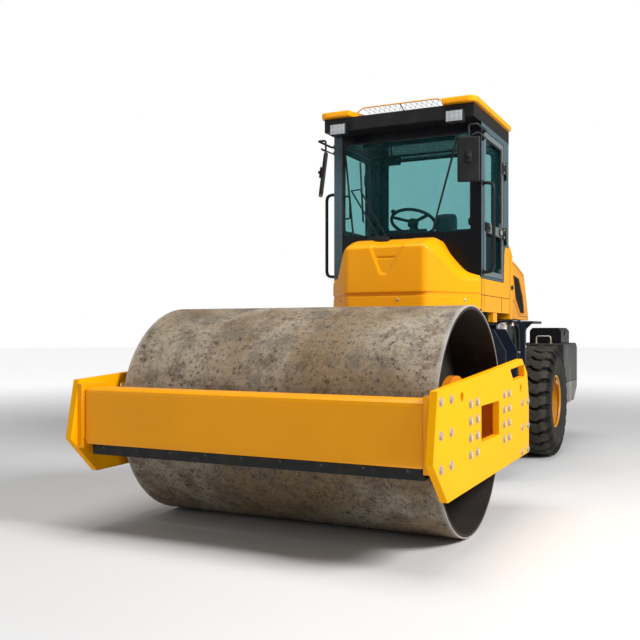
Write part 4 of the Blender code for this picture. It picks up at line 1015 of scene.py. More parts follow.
# ------------------------------------------------------------------ wheels
@dataclass
class Wheel:
    """A rear wheel: a tyre with wavy block tread, and the rim's ring, nuts, cover and valve."""

    lugs: int = 26
    depth: float = 0.034
    groove: float = 0.150
    around: int = 728
    nuts: int = 10

    def profile(self, half: float, radius: float, bead: float) -> np.ndarray:
        """The tyre's outer outline.

        Args:
            half: half of the tyre's width.
            radius: its largest radius.
            bead: its radius at the rim.

        Returns:
            Rows of (across, radius), evenly spaced from the outer bead to the inner one.
        """
        corners = [(half - 0.030, bead + 0.001), (half - 0.012, bead + 0.030),
                   (half - 0.0005, bead + 0.120),
                   (half - 0.004, radius - 0.075), (half - 0.018, radius - 0.034),
                   (half - 0.042, radius - 0.010),
                   (half - 0.075, radius - 0.001), (0.0, radius - 0.0005)]
        line = np.array(corners + [(-x, r) for x, r in reversed(corners[:-1])])
        reach = np.concatenate([[0], np.cumsum(np.hypot(*np.diff(line, axis=0).T))])
        even = np.linspace(0, reach[-1], 76)
        return np.stack([np.interp(even, reach, line[:, 0]), np.interp(even, reach, line[:, 1])], axis=1)

    def tread(self, line: np.ndarray, radius: float, half: float) -> np.ndarray:
        """How deep the surface is cut at each turn and each place across.

        Args:
            line: the tyre's outline.
            radius: its largest radius.
            half: half of its width.

        Returns:
            Depths in metres, one row for each step around.
        """
        across = line[:, 0] / half
        turn = np.arange(self.around) / self.around
        wave = 0.42 * np.abs(((across * 1.15 + 0.5) % 1.0) - 0.5) * 2 + 0.10 * np.sin(across * 9.0)
        phase = (turn[:, None] * self.lugs + wave[None, :]) % 1.0
        nearest = np.abs(phase - 0.5)
        width = self.groove * (0.85 + 0.75 * np.abs(across) ** 3)[None, :]
        cut = np.clip((width - nearest) / 0.030, 0, 1)
        fade = np.clip((line[:, 1] - (radius - 0.105)) / 0.035, 0, 1)
        cut = cut * fade[None, :] * self.depth
        side_cut = np.clip((0.012 - np.abs(line[:, 1] - (radius - 0.118))) / 0.006, 0, 1) * 0.004
        bead_cut = np.clip((0.006 - np.abs(line[:, 1] - (radius - 0.225))) / 0.004, 0, 1) * 0.004
        return cut + (side_cut + bead_cut)[None, :]

    def tyre(self, side: Side) -> None:
        """The tyre, its grooves cut into the CAD tyre's outline."""
        low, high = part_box(named("tyre", Side.LEFT))
        centre = (low + high) / 2
        half, radius = (high.x - low.x) / 2, (high.z - low.z) / 2
        rim_low, rim_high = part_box(named("rim", Side.LEFT))
        line = self.profile(half, radius, (rim_high.z - rim_low.z) / 2)
        depth = self.tread(line, radius, half)
        slope = np.gradient(line, axis=0)
        inward = np.stack([slope[:, 1], -slope[:, 0]], axis=1)
        inward /= np.linalg.norm(inward, axis=1)[:, None]
        inward *= np.sign((inward * (np.array((0.0, radius - 0.12)) - line)).sum(1))[:, None]
        cut = line[None, :, :] + inward[None, :, :] * depth[:, :, None]
        turn = 2 * np.pi * np.arange(self.around) / self.around
        points = np.empty((self.around, len(line), 3))
        points[:, :, 0] = centre.x + cut[:, :, 0]
        points[:, :, 1] = centre.y - cut[:, :, 1] * np.sin(turn)[:, None]
        points[:, :, 2] = centre.z - cut[:, :, 1] * np.cos(turn)[:, None]
        mold = Mold(named("tyre_tread", side), side)
        mold.grid(points, (True, False))
        bmesh.ops.recalc_face_normals(mold.bm, faces=mold.bm.faces)
        mold.set(TYRE, named("wheel", side), [named("tyre", side)], angle=28)

    def rim(self, side: Side) -> None:
        """The lock ring, hub cover, nuts and valve."""
        low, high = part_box(named("rim", Side.LEFT))
        middle = (low + high) / 2
        outer, radius = high.x, (high.z - low.z) / 2
        body = named("wheel", side)
        ring = Mold(named("rim_ring", side), side)
        ring.lathe([(-0.010, radius - 0.013), (-0.004, radius - 0.001), (0.004, radius - 0.001),
                    (0.010, radius - 0.006),
                    (0.010, radius - 0.018), (-0.004, radius - 0.026), (-0.012, radius - 0.020)],
                   aim((outer, middle.y, middle.z), (1, 0, 0)), 72)
        ring.lathe([(0.000, 0), (0.000, 0.118), (0.012, 0.112), (0.034, 0.076), (0.060, 0.066),
                    (0.066, 0.055),
                    (0.066, 0)], aim((middle.x - 0.031, middle.y, middle.z), (1, 0, 0)), 40)
        ring.set(RIM_PAINT, body)
        nuts = Mold(named("wheel_nuts", side), side)
        for i in range(self.nuts):
            a = 2 * math.pi * i / self.nuts
            spot = (middle.x - 0.031, middle.y + 0.135 * math.sin(a), middle.z + 0.135 * math.cos(a))
            nuts.bolt(spot, (1, 0, 0), 0.014, 0.024)
        root = Vector((outer - 0.012, middle.y + 0.120, middle.z + radius * 0.78))
        nuts.tube(arc_path([root + Vector((-0.05, 0.0, 0.012)), root,
                            root + Vector((0.015, -0.020, -0.045))], 0.02),
                  0.0045, 8)
        nuts.set(ZINC, body)

    def build(self) -> None:
        """Makes both wheels."""
        for side in Side:
            self.tyre(side)
            self.rim(side)


# ------------------------------------------------------------------ cowl
@dataclass
class Cowl:
    """The nose cowl: a flat face that sweeps back to the cab, a V relief, a slot and a lower strip."""

    axle_y: float = -2.0
    columns: int = 181
    stations: tuple[Point, ...] = (
        (0.000, 1.190, 1.918, 1.400, 2.000, 1.990), (0.340, 1.190, 1.918, 1.400, 2.000, 1.990),
        (0.385, 1.250, 1.875, 1.420, 1.965, 1.885), (0.520, 1.440, 1.687, 1.530, 1.738, 1.734),
        (0.560, 1.510, 1.652, 1.600, 1.712, 1.714), (0.640, 1.618, 1.652, 1.645, 1.690, 1.692),
        (0.654, 1.640, 1.640, 1.652, 1.664, 1.665),
    )
    relief: tuple[Point, ...] = ((-0.143, 1.955), (-0.042, 1.700), (0.040, 1.700), (0.200, 1.955))

    def smoothed(self, xs: np.ndarray) -> np.ndarray:
        """The station values at every x, their corners rounded a little."""
        table = np.array(self.stations)
        kernel = np.hanning(17)
        kernel /= kernel.sum()
        rows = []
        for k in range(1, 6):
            raw = np.interp(np.abs(xs), table[:, 0], table[:, k])
            padded = np.concatenate([np.full(8, raw[0]), raw, np.full(8, raw[-1])])
            soft = np.convolve(padded, kernel, mode="valid")
            edge = np.clip((np.abs(xs) - 0.60) / 0.04, 0, 1)
            rows.append(soft * (1 - edge) + raw * edge)
        return np.array(rows).T

    def recess(self, x: float, z: float) -> float:
        """How deep the V relief and the slot are at a place on the face."""
        (ax, az), (bx, bz), (cx, cz), (dx, dz) = self.relief
        reach = [z - (bz - 0.016)]
        for (px, pz), (qx, qz), sign in (((ax, az), (bx, bz), 1), ((cx, cz), (dx, dz), 1)):
            length = math.hypot(qx - px, qz - pz)
            reach.append(sign * ((qx - px) * (z - pz) - (qz - pz) * (x - px)) / length)
        soft = -math.log(sum(math.exp(-r / 0.010) for r in reach)) * 0.010
        t = min(1.0, max(0.0, (soft + 0.004) / 0.024))
        slot = 0.007 if abs(x - 0.012) < 0.072 and abs(z - 1.822) < 0.005 else 0.0
        return 0.009 * t * t * (3 - 2 * t) + slot

    def build(self) -> None:
        """Makes the cowl's skin, its bolts and the closed back."""
        low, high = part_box("front_cowl")
        back, foot = high.y, low.z
        xs = np.linspace(low.x + 0.0002, high.x - 0.0002, self.columns)
        values = self.smoothed(xs)
        rows = []
        for x, (face, shoulder, crest, top, rear) in zip(xs, values):
            face, crest = face + self.axle_y, crest + self.axle_y
            blend = 0.30
            column = [(back, foot), (face + 0.005, foot), (face + 0.005, 1.516), (face + 0.019, 1.522),
                      (face + 0.019, 1.544), (face + 0.001, 1.551)]
            for i in range(1, 56):
                z = 1.551 + (shoulder - 0.022 - 1.551) * i / 55
                column.append((face + self.recess(x, z), z))
            sunk = self.recess(x, shoulder - 0.022)
            bend = np.array((face + (crest - face) * blend, shoulder + (top - shoulder) * blend))
            over = np.array((crest + (back - crest) * 0.5, top + (rear - top) * 0.5))
            foot_of_bend = np.array((face, shoulder - 0.022))
            curves = ((foot_of_bend, np.array((face, shoulder + 0.004)), bend),
                      (bend, np.array((crest, top + 0.003)), over))
            for number, (p, q, r) in enumerate(curves):
                for t in np.linspace(0, 1, 8)[1:]:
                    spot = p * (1 - t) ** 2 + q * 2 * t * (1 - t) + r * t**2
                    share = (number + t) / 2
                    column.append((spot[0] + sunk * (1 - share) ** 2,
                                   spot[1] - sunk * share * (1 - share) * 2))
            column.append((back, rear))
            rows.append([(x, min(y, back), min(z, high.z)) for y, z in column])
        mold = Mold("cowl_skin")
        points = np.array(rows)
        mold.grid(points, (False, True))
        mold.bm.verts.ensure_lookup_table()
        columns = points.shape[1]
        mold.bm.faces.new([mold.bm.verts[i] for i in range(columns)])
        mold.bm.faces.new([mold.bm.verts[(len(xs) - 1) * columns + i] for i in range(columns)])
        bmesh.ops.recalc_face_normals(mold.bm, faces=mold.bm.faces)
        mold.set(BODY_PAINT, "rear_frame", ["front_cowl"], angle=50)

        bolts = Mold("cowl_bolts")
        for x in (-0.44, 0.115, 0.56):
            face = float(np.interp(abs(x), xs[self.columns // 2:],
                                   values[self.columns // 2:, 0])) + self.axle_y
            bolts.bolt((x, face + 0.004, 1.490), (0.0 if abs(x) < 0.34 else math.copysign(0.8, x), -1, 0),
                       0.009, 0.006)
        bolts.set(ZINC, "rear_frame")


# ------------------------------------------------------------------ hood
@dataclass
class Hood:
    """The engine hood's fittings: grilles, frames, shut lines, latches and rear louvres."""

    axle_y: float = -2.0
    front: float = 2.727
    back: float = 4.355
    halves: tuple[float, float] = (0.615, 0.450)
    grille: tuple[Point, ...] = ((3.000, 1.790), (3.480, 1.775), (3.800, 1.600), (3.960, 1.420),
                                 (3.560, 1.420), (3.180, 1.560))
    body: str = "hood"

    def side_x(self, y: float) -> float:
        """The hood side's distance from the middle, y behind the drum's axle."""
        share = (y - self.front) / (self.back - self.front)
        return self.halves[0] + share * (self.halves[1] - self.halves[0])

    def on_side(self, y: float, z: float, out: float) -> Point:
        """A point standing out from the hood's side."""
        return (self.side_x(y) + out, self.axle_y + y, z)

    def grilles(self, side: Side) -> None:
        """The wire mesh and the raised frame round it."""
        wires = Mold(named("grille_wires", side), side)
        wires.lattice(self.grille, 0.021, 0.0042, lambda y, z, h: self.on_side(y, z, -0.0068 + h))
        wires.set(MESH_METAL, self.body)
        edge = Mold(named("grille_frame", side), side)
        loop = []
        corners = [Vector((y, z, 0)) for y, z in self.grille]
        for i, corner in enumerate(corners):
            before, after = corners[i - 1], corners[(i + 1) % len(corners)]
            for t in (0.0, 0.25, 0.5, 0.75, 1.0):
                p = corner + (before - corner).normalized() * 0.03
                q = corner + (after - corner).normalized() * 0.03
                spot = p * (1 - t) ** 2 + corner * 2 * t * (1 - t) + q * t**2
                loop.append(self.on_side(spot.x, spot.y, -0.001))
        edge.tube(loop, 0.009, 8, closed=True)
        edge.set(BODY_PAINT, self.body)

    def shut_lines(self, side: Side) -> None:
        """The dark lines of the side door and the lower skirt, and the latch."""
        lines = Mold(named("hood_lines", side), side)
        for path in ([(2.760, 1.540), (3.100, 1.540), (3.300, 1.480), (3.480, 1.395), (4.200, 1.395)],
                     [(2.790, 1.900), (2.790, 1.545)], [(2.800, 1.905), (3.300, 1.875), (3.860, 1.815)]):
            points = [self.on_side(y, z, 0.0004) for y, z in
                      [(p.x, p.y) for p in arc_path([(y, z, 0) for y, z in path], 0.06)]]
            lines.tube(points, 0.0022, 6)
        lines.set(DARK, self.body)
        latch = Mold(named("hood_latch", side), side)
        spot = self.on_side(2.830, 1.640, 0.0)
        latch.lathe([(-0.006, 0), (-0.006, 0.024), (0.012, 0.024), (0.018, 0.018), (0.018, 0)],
                    aim(spot, (1, 0, 0)), 24)
        latch.box((0.010, -0.010, -0.034), (0.026, 0.010, 0.020), 0.004, 2, Matrix.Translation(spot))
        latch.set(PLASTIC, self.body)

    def louvres(self) -> None:
        """Slats across the hood's sloping rear face, for the radiator's air."""
        slope = [(4.020, 1.740), (4.330, 1.360)]
        direction = Vector((0, slope[1][0] - slope[0][0], slope[1][1] - slope[0][1])).normalized()
        outwards = Vector((0, -direction.z, direction.y))
        frame_piece = Mold("rear_louvres")
        start = Vector((0, self.axle_y + slope[0][0], slope[0][1]))
        for i in range(9):
            place = start + direction * (0.070 + 0.038 * i)
            turn = Matrix.Translation(place + outwards * 0.001) @ Matrix((
                (1, 0, 0, 0), (0, direction.y, outwards.y, 0), (0, direction.z, outwards.z, 0),
                                                                          (0, 0, 0, 1)))
            tilt = Matrix.Rotation(math.radians(24), 4, "X")
            frame_piece.box((-0.30, -0.015, -0.003), (0.30, 0.015, 0.003), 0.002, 1, turn @ tilt)
        frame_piece.set(BLACK_PAINT, self.body)
        rim = Mold("rear_louvre_frame")
        corners = []
        for x, reach in ((-0.33, 0.035), (0.33, 0.035), (0.33, 0.410), (-0.33, 0.410)):
            p = start + direction * reach + outwards * 0.002
            corners.append(Vector((x, p.y, p.z)))
        loop = arc_path(corners + [corners[0], corners[1]], 0.04)[6:]
        rim.tube(loop[:-1], 0.007, 8, closed=False)
        rim.set(BODY_PAINT, self.body)

    def build(self) -> None:
        """Makes the hood's fittings."""
        for side in Side:
            self.grilles(side)
            self.shut_lines(side)
        self.louvres()


# ------------------------------------------------------------------ cab
@dataclass
class Cab:
    """The cab's fittings: seals, wiper, lamps, mirrors, door hardware, guard, rails and seams."""

    axle_y: float = -2.0
    body: str = "rear_frame"

    def at(self, x: float, y: float, z: float) -> Vector:
        """A point given by its distance behind the drum's axle."""
        return Vector((x, self.axle_y + y, z))

    def loop(self, mold: Mold, corners: Sequence[Point], radius: float, thick: float) -> None:
        """Adds a seal round an opening."""
        points = [Vector(c) for c in corners]
        path = arc_path(points + [points[0], points[1]], radius)
        mold.tube(path[6:-1], thick, 8)

    def seals(self) -> None:
        """Rubber round the screens, and the strips between the screen's centre and its corner panes."""
        mold = Mold("screen_seals")
        low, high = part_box("windscreen")
        y = low.y - 0.001
        self.loop(mold, [(low.x, y, low.z), (high.x, y, low.z), (high.x, y, high.z), (low.x, y, high.z)],
                  0.05, 0.011)
        for top, foot in (((-0.560, 2.850), (-0.478, 2.070)), ((0.460, 2.850), (0.240, 2.070))):
            mold.tube([(top[0], y, top[1]), (foot[0], y, foot[1])], 0.0085, 8)
        low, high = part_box("rear_window")
        y = high.y + 0.002
        self.loop(mold, [(low.x, y, low.z), (high.x, y, low.z), (high.x, y, high.z), (low.x, y, high.z)],
                  0.06, 0.012)
        mold.set(SEAL, self.body)

    def wiper(self) -> None:
        """The windscreen's wiper: a base on the cowl, two parallel arms and an upright blade."""
        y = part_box("windscreen")[0].y - 0.030
        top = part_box("front_cowl")[1].z
        mold = Mold("wiper")
        mold.box((-0.235, y - 0.235, top - 0.016), (-0.100, y - 0.165, top + 0.020), 0.008)
        mold.box((-0.245, y - 0.055, top - 0.004), (-0.130, y + 0.004, top + 0.046), 0.010)
        for foot, head in (((-0.225, 2.028), (-0.480, 2.452)), ((-0.150, 2.020), (-0.392, 2.444))):
            mold.tube([(foot[0], y - 0.030, foot[1]), (foot[0] - 0.012, y - 0.012, foot[1] + 0.03),
                       (head[0], y - 0.004, head[1])], 0.0075, 8)
        mold.tube([(-0.225, y - 0.030, 2.028), (-0.200, y - 0.120, top + 0.022),
                   (-0.170, y - 0.200, top + 0.016)], 0.009, 8)
        slope = Matrix.Rotation(math.radians(21), 4, "X")
        pad = Matrix.Translation((-0.080, y - 0.290, top - 0.022)) @ slope
        mold.box((-0.060, -0.030, -0.010), (0.060, 0.030, 0.020), 0.007, 2, pad)
        mold.tube([(-0.100, y - 0.285, top - 0.004), (-0.215, y - 0.120, top + 0.026),
                   (-0.225, y - 0.030, 2.030)],
                  0.009, 8)
        mold.tube([(-0.482, y - 0.004, 2.452), (-0.390, y - 0.004, 2.458)], 0.006, 8)
        mold.tube([(-0.404, y + 0.008, 2.690), (-0.376, y + 0.008, 2.178)], 0.0065, 8)
        mold.tube([(-0.401, y + 0.016, 2.695), (-0.373, y + 0.016, 2.172)], 0.0035, 6)
        mold.set(PLASTIC, self.body)

    def lamps(self) -> None:
        """The work lamps' white faces with six cells each, in their bezels."""
        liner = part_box("roof_liner")
        face_y = liner[0].y
        size = (0.146, 0.095)
        middle = (0.505, 2.935)
        for side in Side:
            lens = Mold(named("lamp_face", side), side)
            lens.box((middle[0] - 0.066, face_y - 0.0005, middle[1] - 0.041),
                     (middle[0] + 0.066, face_y + 0.004, middle[1] + 0.041), 0.003)
            lens.set(LAMP_FACE, self.body)
            cells = Mold(named("lamp_cells", side), side)
            for i in range(3):
                for k in range(2):
                    spot = (middle[0] + (i - 1) * 0.041, face_y - 0.0006, middle[1] + (k - 0.5) * 0.040)
                    cells.lathe([(0, 0.0145), (0.0010, 0.0155), (0.0010, 0.0170), (0, 0.0180)],
                                aim(spot, (0, -1, 0)), 28)
                    cells.lathe([(0, 0), (0, 0.006), (0.0010, 0.004), (0.0012, 0)], aim(spot, (0, -1, 0)),
                                16)
            cells.set(MESH_METAL, self.body)
            bezel = Mold(named("lamp_bezel", side), side)
            x0, x1 = middle[0] - size[0] / 2, middle[0] + size[0] / 2
            z0, z1 = middle[1] - size[1] / 2, middle[1] + size[1] / 2
            self.loop(bezel, [(x0 + 0.005, face_y + 0.005, z0 + 0.005),
                              (x1 - 0.005, face_y + 0.005, z0 + 0.005),
                              (x1 - 0.005, face_y + 0.005, z1 - 0.005),
                              (x0 + 0.005, face_y + 0.005, z1 - 0.005)],
                      0.010, 0.0055)
            for k in range(6):
                bezel.box((x0 + 0.010 + k * 0.0225, face_y + 0.022, z1 - 0.002),
                          (x0 + 0.016 + k * 0.0225, face_y + 0.050, z1 + 0.008), 0.001, 1)
            bezel.set(PLASTIC, self.body)

    def guard(self) -> None:
        """The wire mesh of the roof's front guard."""
        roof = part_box("roof")
        corner = self.at(0.33, 1.540, roof[1].z - 0.006)
        depth, drop = 0.110, 0.040
        mold = Mold("guard_mesh")
        mold.lattice([(-corner.x, 0), (corner.x, 0), (corner.x, depth), (-corner.x, depth)], 0.040, 0.0022,
                     lambda x, d, h: (x, corner.y + d, corner.z - drop * d / depth + h - 0.002),
                     (60.0, -60.0))
        mold.tube([(-corner.x, corner.y + depth, corner.z - drop),
                   (corner.x, corner.y + depth, corner.z - drop)],
                  0.005, 8)
        mold.tube([(0, corner.y, corner.z), (0, corner.y + depth, corner.z - drop)], 0.004, 8)
        mold.set(BLACK_PAINT, self.body)

    def mirrors(self, side: Side) -> None:
        """The mirror's face, its back's boss and clamp, and the bracket's second tube."""
        low, turn, lean = {Side.LEFT: (2.408, 18.0, 0.0), Side.RIGHT: (2.385, 62.0, -7.0)}[side]
        place = Matrix.Translation(self.at(0.620, 1.420, low + 0.355)) @ Matrix.Rotation(
            math.radians(turn), 4, "Z") @ Matrix.Rotation(math.radians(lean), 4, "X")
        face = Mold(named("mirror_face", side), side)
        face.box((-0.078, 0.0165, -0.343), (0.078, 0.0186, -0.012), 0.001, 1, place)
        face.set(MIRROR_GLASS, self.body)
        fittings = Mold(named("mirror_fittings", side), side)
        fittings.box((-0.020, -0.034, -0.205), (0.020, -0.016, -0.115), 0.006, 2, place)
        fittings.lathe([(0, 0), (0, 0.013), (0.014, 0.013), (0.016, 0.010), (0.016, 0)],
                       place @ aim((0, -0.030, -0.160), (0, -1, 0)), 16)
        x, z = 0.690, 2.800
        root = self.at(0.6550, 1.690, z)
        path = [root, self.at(x - 0.006, 1.690, z), self.at(x - 0.006, 1.450, z),
                self.at(0.640, 1.425, z - 0.03)]
        fittings.tube(arc_path(path, 0.025), 0.006, 8)
        for height in (2.855, 2.800):
            fittings.box((0.6540, self.axle_y + 1.668, height - 0.016),
                         (0.668, self.axle_y + 1.712, height + 0.016), 0.004)
        fittings.set(PLASTIC, self.body)

    def doors(self, side: Side) -> None:
        """Each door's seals, middle rail fittings, latch, handle and hinge bolts."""
        body = named("door", side)
        low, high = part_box(named("door_glass", Side.LEFT))
        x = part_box(named("door", Side.LEFT))[1].x
        skin = 0.653
        seal = Mold(named("door_seals", side), side)
        for z0, z1 in ((1.742, 2.058), (2.137, 2.828)):
            y0, y1 = low.y + 0.027, high.y - 0.027
            self.loop(seal, [(skin - 0.014, y0, z0), (skin - 0.014, y1, z0), (skin - 0.014, y1, z1),
                             (skin - 0.014, y0, z1)], 0.05, 0.009)
        seal.set(SEAL, body)
        latch = Mold(named("door_latch", side), side)
        y0, y1 = self.axle_y + 1.762, self.axle_y + 2.382
        latch.box((skin - 0.004, y0 + 0.010, 2.062), (skin + 0.016, y0 + 0.120, 2.134), 0.006)
        latch.box((skin + 0.010, y0 + 0.030, 2.078), (skin + 0.026, y0 + 0.110, 2.104), 0.008)
        latch.lathe([(0, 0), (0, 0.009), (0.004, 0.008), (0.004, 0)],
                    aim((skin + 0.016, y0 + 0.045, 2.118), (1, 0, 0)), 16)
        latch.box((skin - 0.004, y1 - 0.150, 2.072), (skin + 0.010, y1 - 0.050, 2.126), 0.004)
        latch.set(PLASTIC, body)
        plate = Mold(named("door_plate", side), side)
        plate.box((skin + 0.009, y1 - 0.130, 2.078), (skin + 0.013, y1 - 0.075, 2.120), 0.001, 1)
        for z in (2.063, 2.128, 2.632, 2.708):
            plate.bolt((x - 0.012, y1 - 0.020, z), (1, 0, 0), 0.0055, 0.0045)
        plate.set(ZINC, body)
        pull = Mold(named("door_pull", side), side)
        inner = low.x
        pull.tube(arc_path([(inner, y0 + 0.06, 2.24), (inner - 0.040, y0 + 0.06, 2.24),
                            (inner - 0.040, y0 + 0.06, 2.44), (inner, y0 + 0.06, 2.44)], 0.02), 0.008, 10)
        pull.set(PLASTIC, body)

    def rails(self, side: Side) -> None:
        """The grab rail's feet and bolts."""
        mold = Mold(named("rail_feet", side), side)
        for z in (1.720, 2.440):
            mold.lathe([(0, 0.012), (0, 0.026), (0.005, 0.026), (0.008, 0.018), (0.008, 0.012)],
                       aim(self.at(0.6552, 1.700, z), (1, 0, 0)), 28)
            for dz in (-0.019, 0.019):
                mold.bolt(self.at(0.660, 1.700, z + dz), (1, 0, 0), 0.0045, 0.004)
        mold.set(BLACK_PAINT, self.body)

    def panel_lines(self, side: Side) -> None:
        """The shut lines across the skirt panels, and the foot of the sill."""
        mold = Mold(named("panel_lines", side), side)
        x = 0.6552
        for path in ([(1.672, 1.535), (2.620, 1.535)], [(2.310, 1.404), (2.310, 1.535)],
                     [(1.735, 1.404), (1.735, 1.660)], [(2.622, 1.404), (2.622, 1.985)]):
            mold.tube([self.at(x, y, z) for y, z in path], 0.0026, 6)
        mold.set(DARK, self.body)
        step = Mold(named("sill_strip", side), side)
        step.slab([(self.axle_y + 1.672, 1.662), (self.axle_y + 2.392, 1.662), (self.axle_y + 2.392, 1.672),
                   (self.axle_y + 1.672, 1.672)], "x", (0.640, 0.6548), 0.002)
        step.set(BODY_PAINT, self.body)

    def wing_latch(self, side: Side) -> None:
        """The black latch on the bulkhead's side."""
        mold = Mold(named("wing_latch", side), side)
        place = self.at(0.6545, 2.680, 1.640)
        mold.lathe([(-0.002, 0), (-0.002, 0.020), (0.012, 0.020), (0.018, 0.014), (0.018, 0)],
                   aim(place, (1, 0, 0)), 24)
        mold.set(PLASTIC, self.body)

    def build(self) -> None:
        """Makes the cab's fittings."""
        self.seals()
        self.wiper()
        self.lamps()
        self.guard()
        for side in Side:
            self.mirrors(side)
            self.doors(side)
            self.rails(side)
            self.panel_lines(side)
            self.wing_latch(side)


# ------------------------------------------------------------------ interior
@dataclass
class Interior:
    """What shows through the glass: the sprung seat, gauges, levers, pedals, mat and inner mirror."""

    cap: float = 0.024
    body: str = "rear_frame"

    def puff(self, name: str, node: str, space: tuple[Vector, Vector], inset: float, crown: float,
             channels: Sequence[float], upright: bool) -> None:
        """A stuffed cushion grown by cloth from a smaller shape, then sewn with channels.

        Args:
            name: the piece's name.
            node: the CAD solid that it stands for.
            space: the corners of the space that it fills.
            inset: how much smaller the starting shape is on every side.
            crown: how far the starting shape already bulges.
            channels: where seams cross it, as shares of its length.
            upright: whether its length runs upwards.
        """
        real_low, real_high = space
        low, high = real_low + Vector((inset,) * 3), real_high - Vector((inset,) * 3)
        middle, size = (low + high) / 2, high - low
        bm = bmesh.new()
        bmesh.ops.create_cube(bm, size=1)
        bmesh.ops.subdivide_edges(bm, edges=bm.edges, cuts=20, use_grid_fill=True)
        for v in bm.verts:
            p = v.co * 2
            thin, long_way = (1, 2) if upright else (2, 1)
            corner = 1 - 0.10 * (abs(p.x) ** 6) * (abs(p[long_way]) ** 6)
            v.co.x = middle.x + p.x * size.x / 2 * corner
            bulge = (1 - p.x**2) * (1 - p[long_way] ** 2)
            v.co[long_way] = middle[long_way] + p[long_way] * size[long_way] / 2 * corner
            sink = 0.55 + 0.45 * (1 - max(abs(p.x), abs(p[long_way])) ** 8)
            v.co[thin] = middle[thin] + p[thin] * (size[thin] / 2) * sink + p[thin] * crown * bulge
        mesh = bpy.data.meshes.new(name)
        bm.to_mesh(mesh)
        bm.free()
        obj = bpy.data.objects.new(name, mesh)
        bpy.context.scene.collection.objects.link(obj)
        self.inflate(obj)
        thin, long_way = (1, 2) if upright else (2, 1)
        for v in obj.data.vertices:
            share = (v.co[long_way] - real_low[long_way]) / (real_high[long_way] - real_low[long_way])
            side = 1 if v.co[thin] > middle[thin] else -1
            for place in channels:
                v.co[thin] -= side * 0.007 * math.exp(-(((share - place) / 0.018) ** 2))
            for border in (-0.62, 0.62):
                away = (v.co.x - middle.x) / (size.x / 2) - border
                v.co[thin] -= side * 0.006 * math.exp(-((away / 0.035) ** 2))
            for i in range(3):
                v.co[i] = min(max(v.co[i], real_low[i] + 0.001), real_high[i] - 0.001)
        smooth = obj.modifiers.new("smooth", "SUBSURF")
        smooth.levels = smooth.render_levels = 1
        obj.data.shade_smooth()
        obj.data.materials.append(CLOTH.material())
        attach(obj, self.body)
        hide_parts(node)
        LOG.info("%s on %s: %d faces", name, self.body, len(obj.data.polygons))

    def inflate(self, obj: bpy.types.Object) -> None:
        """Remeshes a cushion and swells it by cloth pressure, no point moving further than the cap."""
        bpy.context.view_layer.objects.active = obj
        remesh = obj.modifiers.new("remesh", "REMESH")
        remesh.mode, remesh.voxel_size = "VOXEL", 0.008
        graph = bpy.context.evaluated_depsgraph_get()
        obj.data = bpy.data.meshes.new_from_object(obj.evaluated_get(graph))
        obj.modifiers.clear()
        before = np.empty(len(obj.data.vertices) * 3)
        obj.data.vertices.foreach_get("co", before)
        cloth = obj.modifiers.new("cloth", "CLOTH")
        cloth.settings.use_pressure = True
        cloth.settings.uniform_pressure_force = 4.0
        cloth.settings.effector_weights.gravity = 0.0
        cloth.settings.quality = 4
        cloth.point_cache.frame_start, cloth.point_cache.frame_end = 1, 14
        for number in range(1, 15):
            bpy.context.scene.frame_set(number)
        graph = bpy.context.evaluated_depsgraph_get()
        grown = bpy.data.meshes.new_from_object(obj.evaluated_get(graph))
        after = np.empty(len(grown.vertices) * 3)
        grown.vertices.foreach_get("co", after)
        move = (after - before).reshape(-1, 3)
        length = np.linalg.norm(move, axis=1)[:, None]
        move *= np.minimum(1.0, self.cap / np.maximum(length, 1e-9))
        obj.modifiers.clear()
        obj.data.vertices.foreach_set("co", (before.reshape(-1, 3) + move).ravel())
        bpy.context.scene.frame_set(1)

    def seat(self) -> None:
        """The cushions and head pad, the seat's hinge covers and the bands round its base."""
        low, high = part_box("seat_cushion")
        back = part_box("seat_back")
        middle, shoulder = (low.x + high.x) / 2, back[1].z - 0.108
        rest = (Vector((middle - 0.105, back[0].y + 0.008, shoulder - 0.190)),
                back[1] - Vector((0.095, 0.018, 0)))
        self.puff("seat_pad", "seat_cushion", (low, high), 0.010, 0.006, (0.33, 0.66), False)
        self.puff("back_pad", "seat_back", (back[0], Vector((back[1].x, back[1].y, shoulder - 0.060))),
                  0.010, 0.006, (0.5,), True)
        self.puff("head_pad", "seat_back", rest, 0.008, 0.004, (), True)
        fittings = Mold("seat_fittings")
        for sign in (1, -1):
            x = middle + sign * 0.224
            fittings.box((x - 0.014, high.y - 0.110, high.z - 0.060),
                         (x + 0.014, high.y - 0.030, high.z + 0.090), 0.010)
        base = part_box("seat_base")
        for i in range(4):
            z = base[0].z + 0.10 + 0.045 * i
            fittings.box((base[0].x - 0.010, base[0].y - 0.010, z),
                         (base[1].x + 0.010, base[1].y + 0.010, z + 0.030), 0.010)
        fittings.set(PLASTIC, self.body)

    def dash(self) -> None:
        """A hooded gauge panel with dials and switches."""
        hood_piece = Mold("gauge_hood")
        y = -0.290
        hood_piece.slab([(y + 0.004, 2.031), (y + 0.115, 2.031), (y + 0.120, 2.050), (y + 0.030, 2.105),
                         (y + 0.004, 2.096)],
                        "x", (-0.165, 0.165), 0.008)
        hood_piece.set(PLASTIC, self.body)
        dials = Mold("gauge_rings")
        tilt = Vector((0, 0.62, 0.78)).normalized()
        for x in (-0.10, 0.0, 0.10):
            spot = Vector((x, y + 0.079, 2.0775))
            dials.lathe([(-0.004, 0), (-0.004, 0.030), (0.003, 0.030), (0.003, 0.026), (0.001, 0.026),
                         (0.001, 0)],
                        aim(spot, tilt), 32)
        for k in range(6):
            x = -0.30 + 0.035 * k if k < 3 else 0.195 + 0.035 * (k - 3)
            dials.box((x, y + 0.060, 2.028), (x + 0.022, y + 0.090, 2.036), 0.002, 1)
        dials.set(MESH_METAL, self.body)

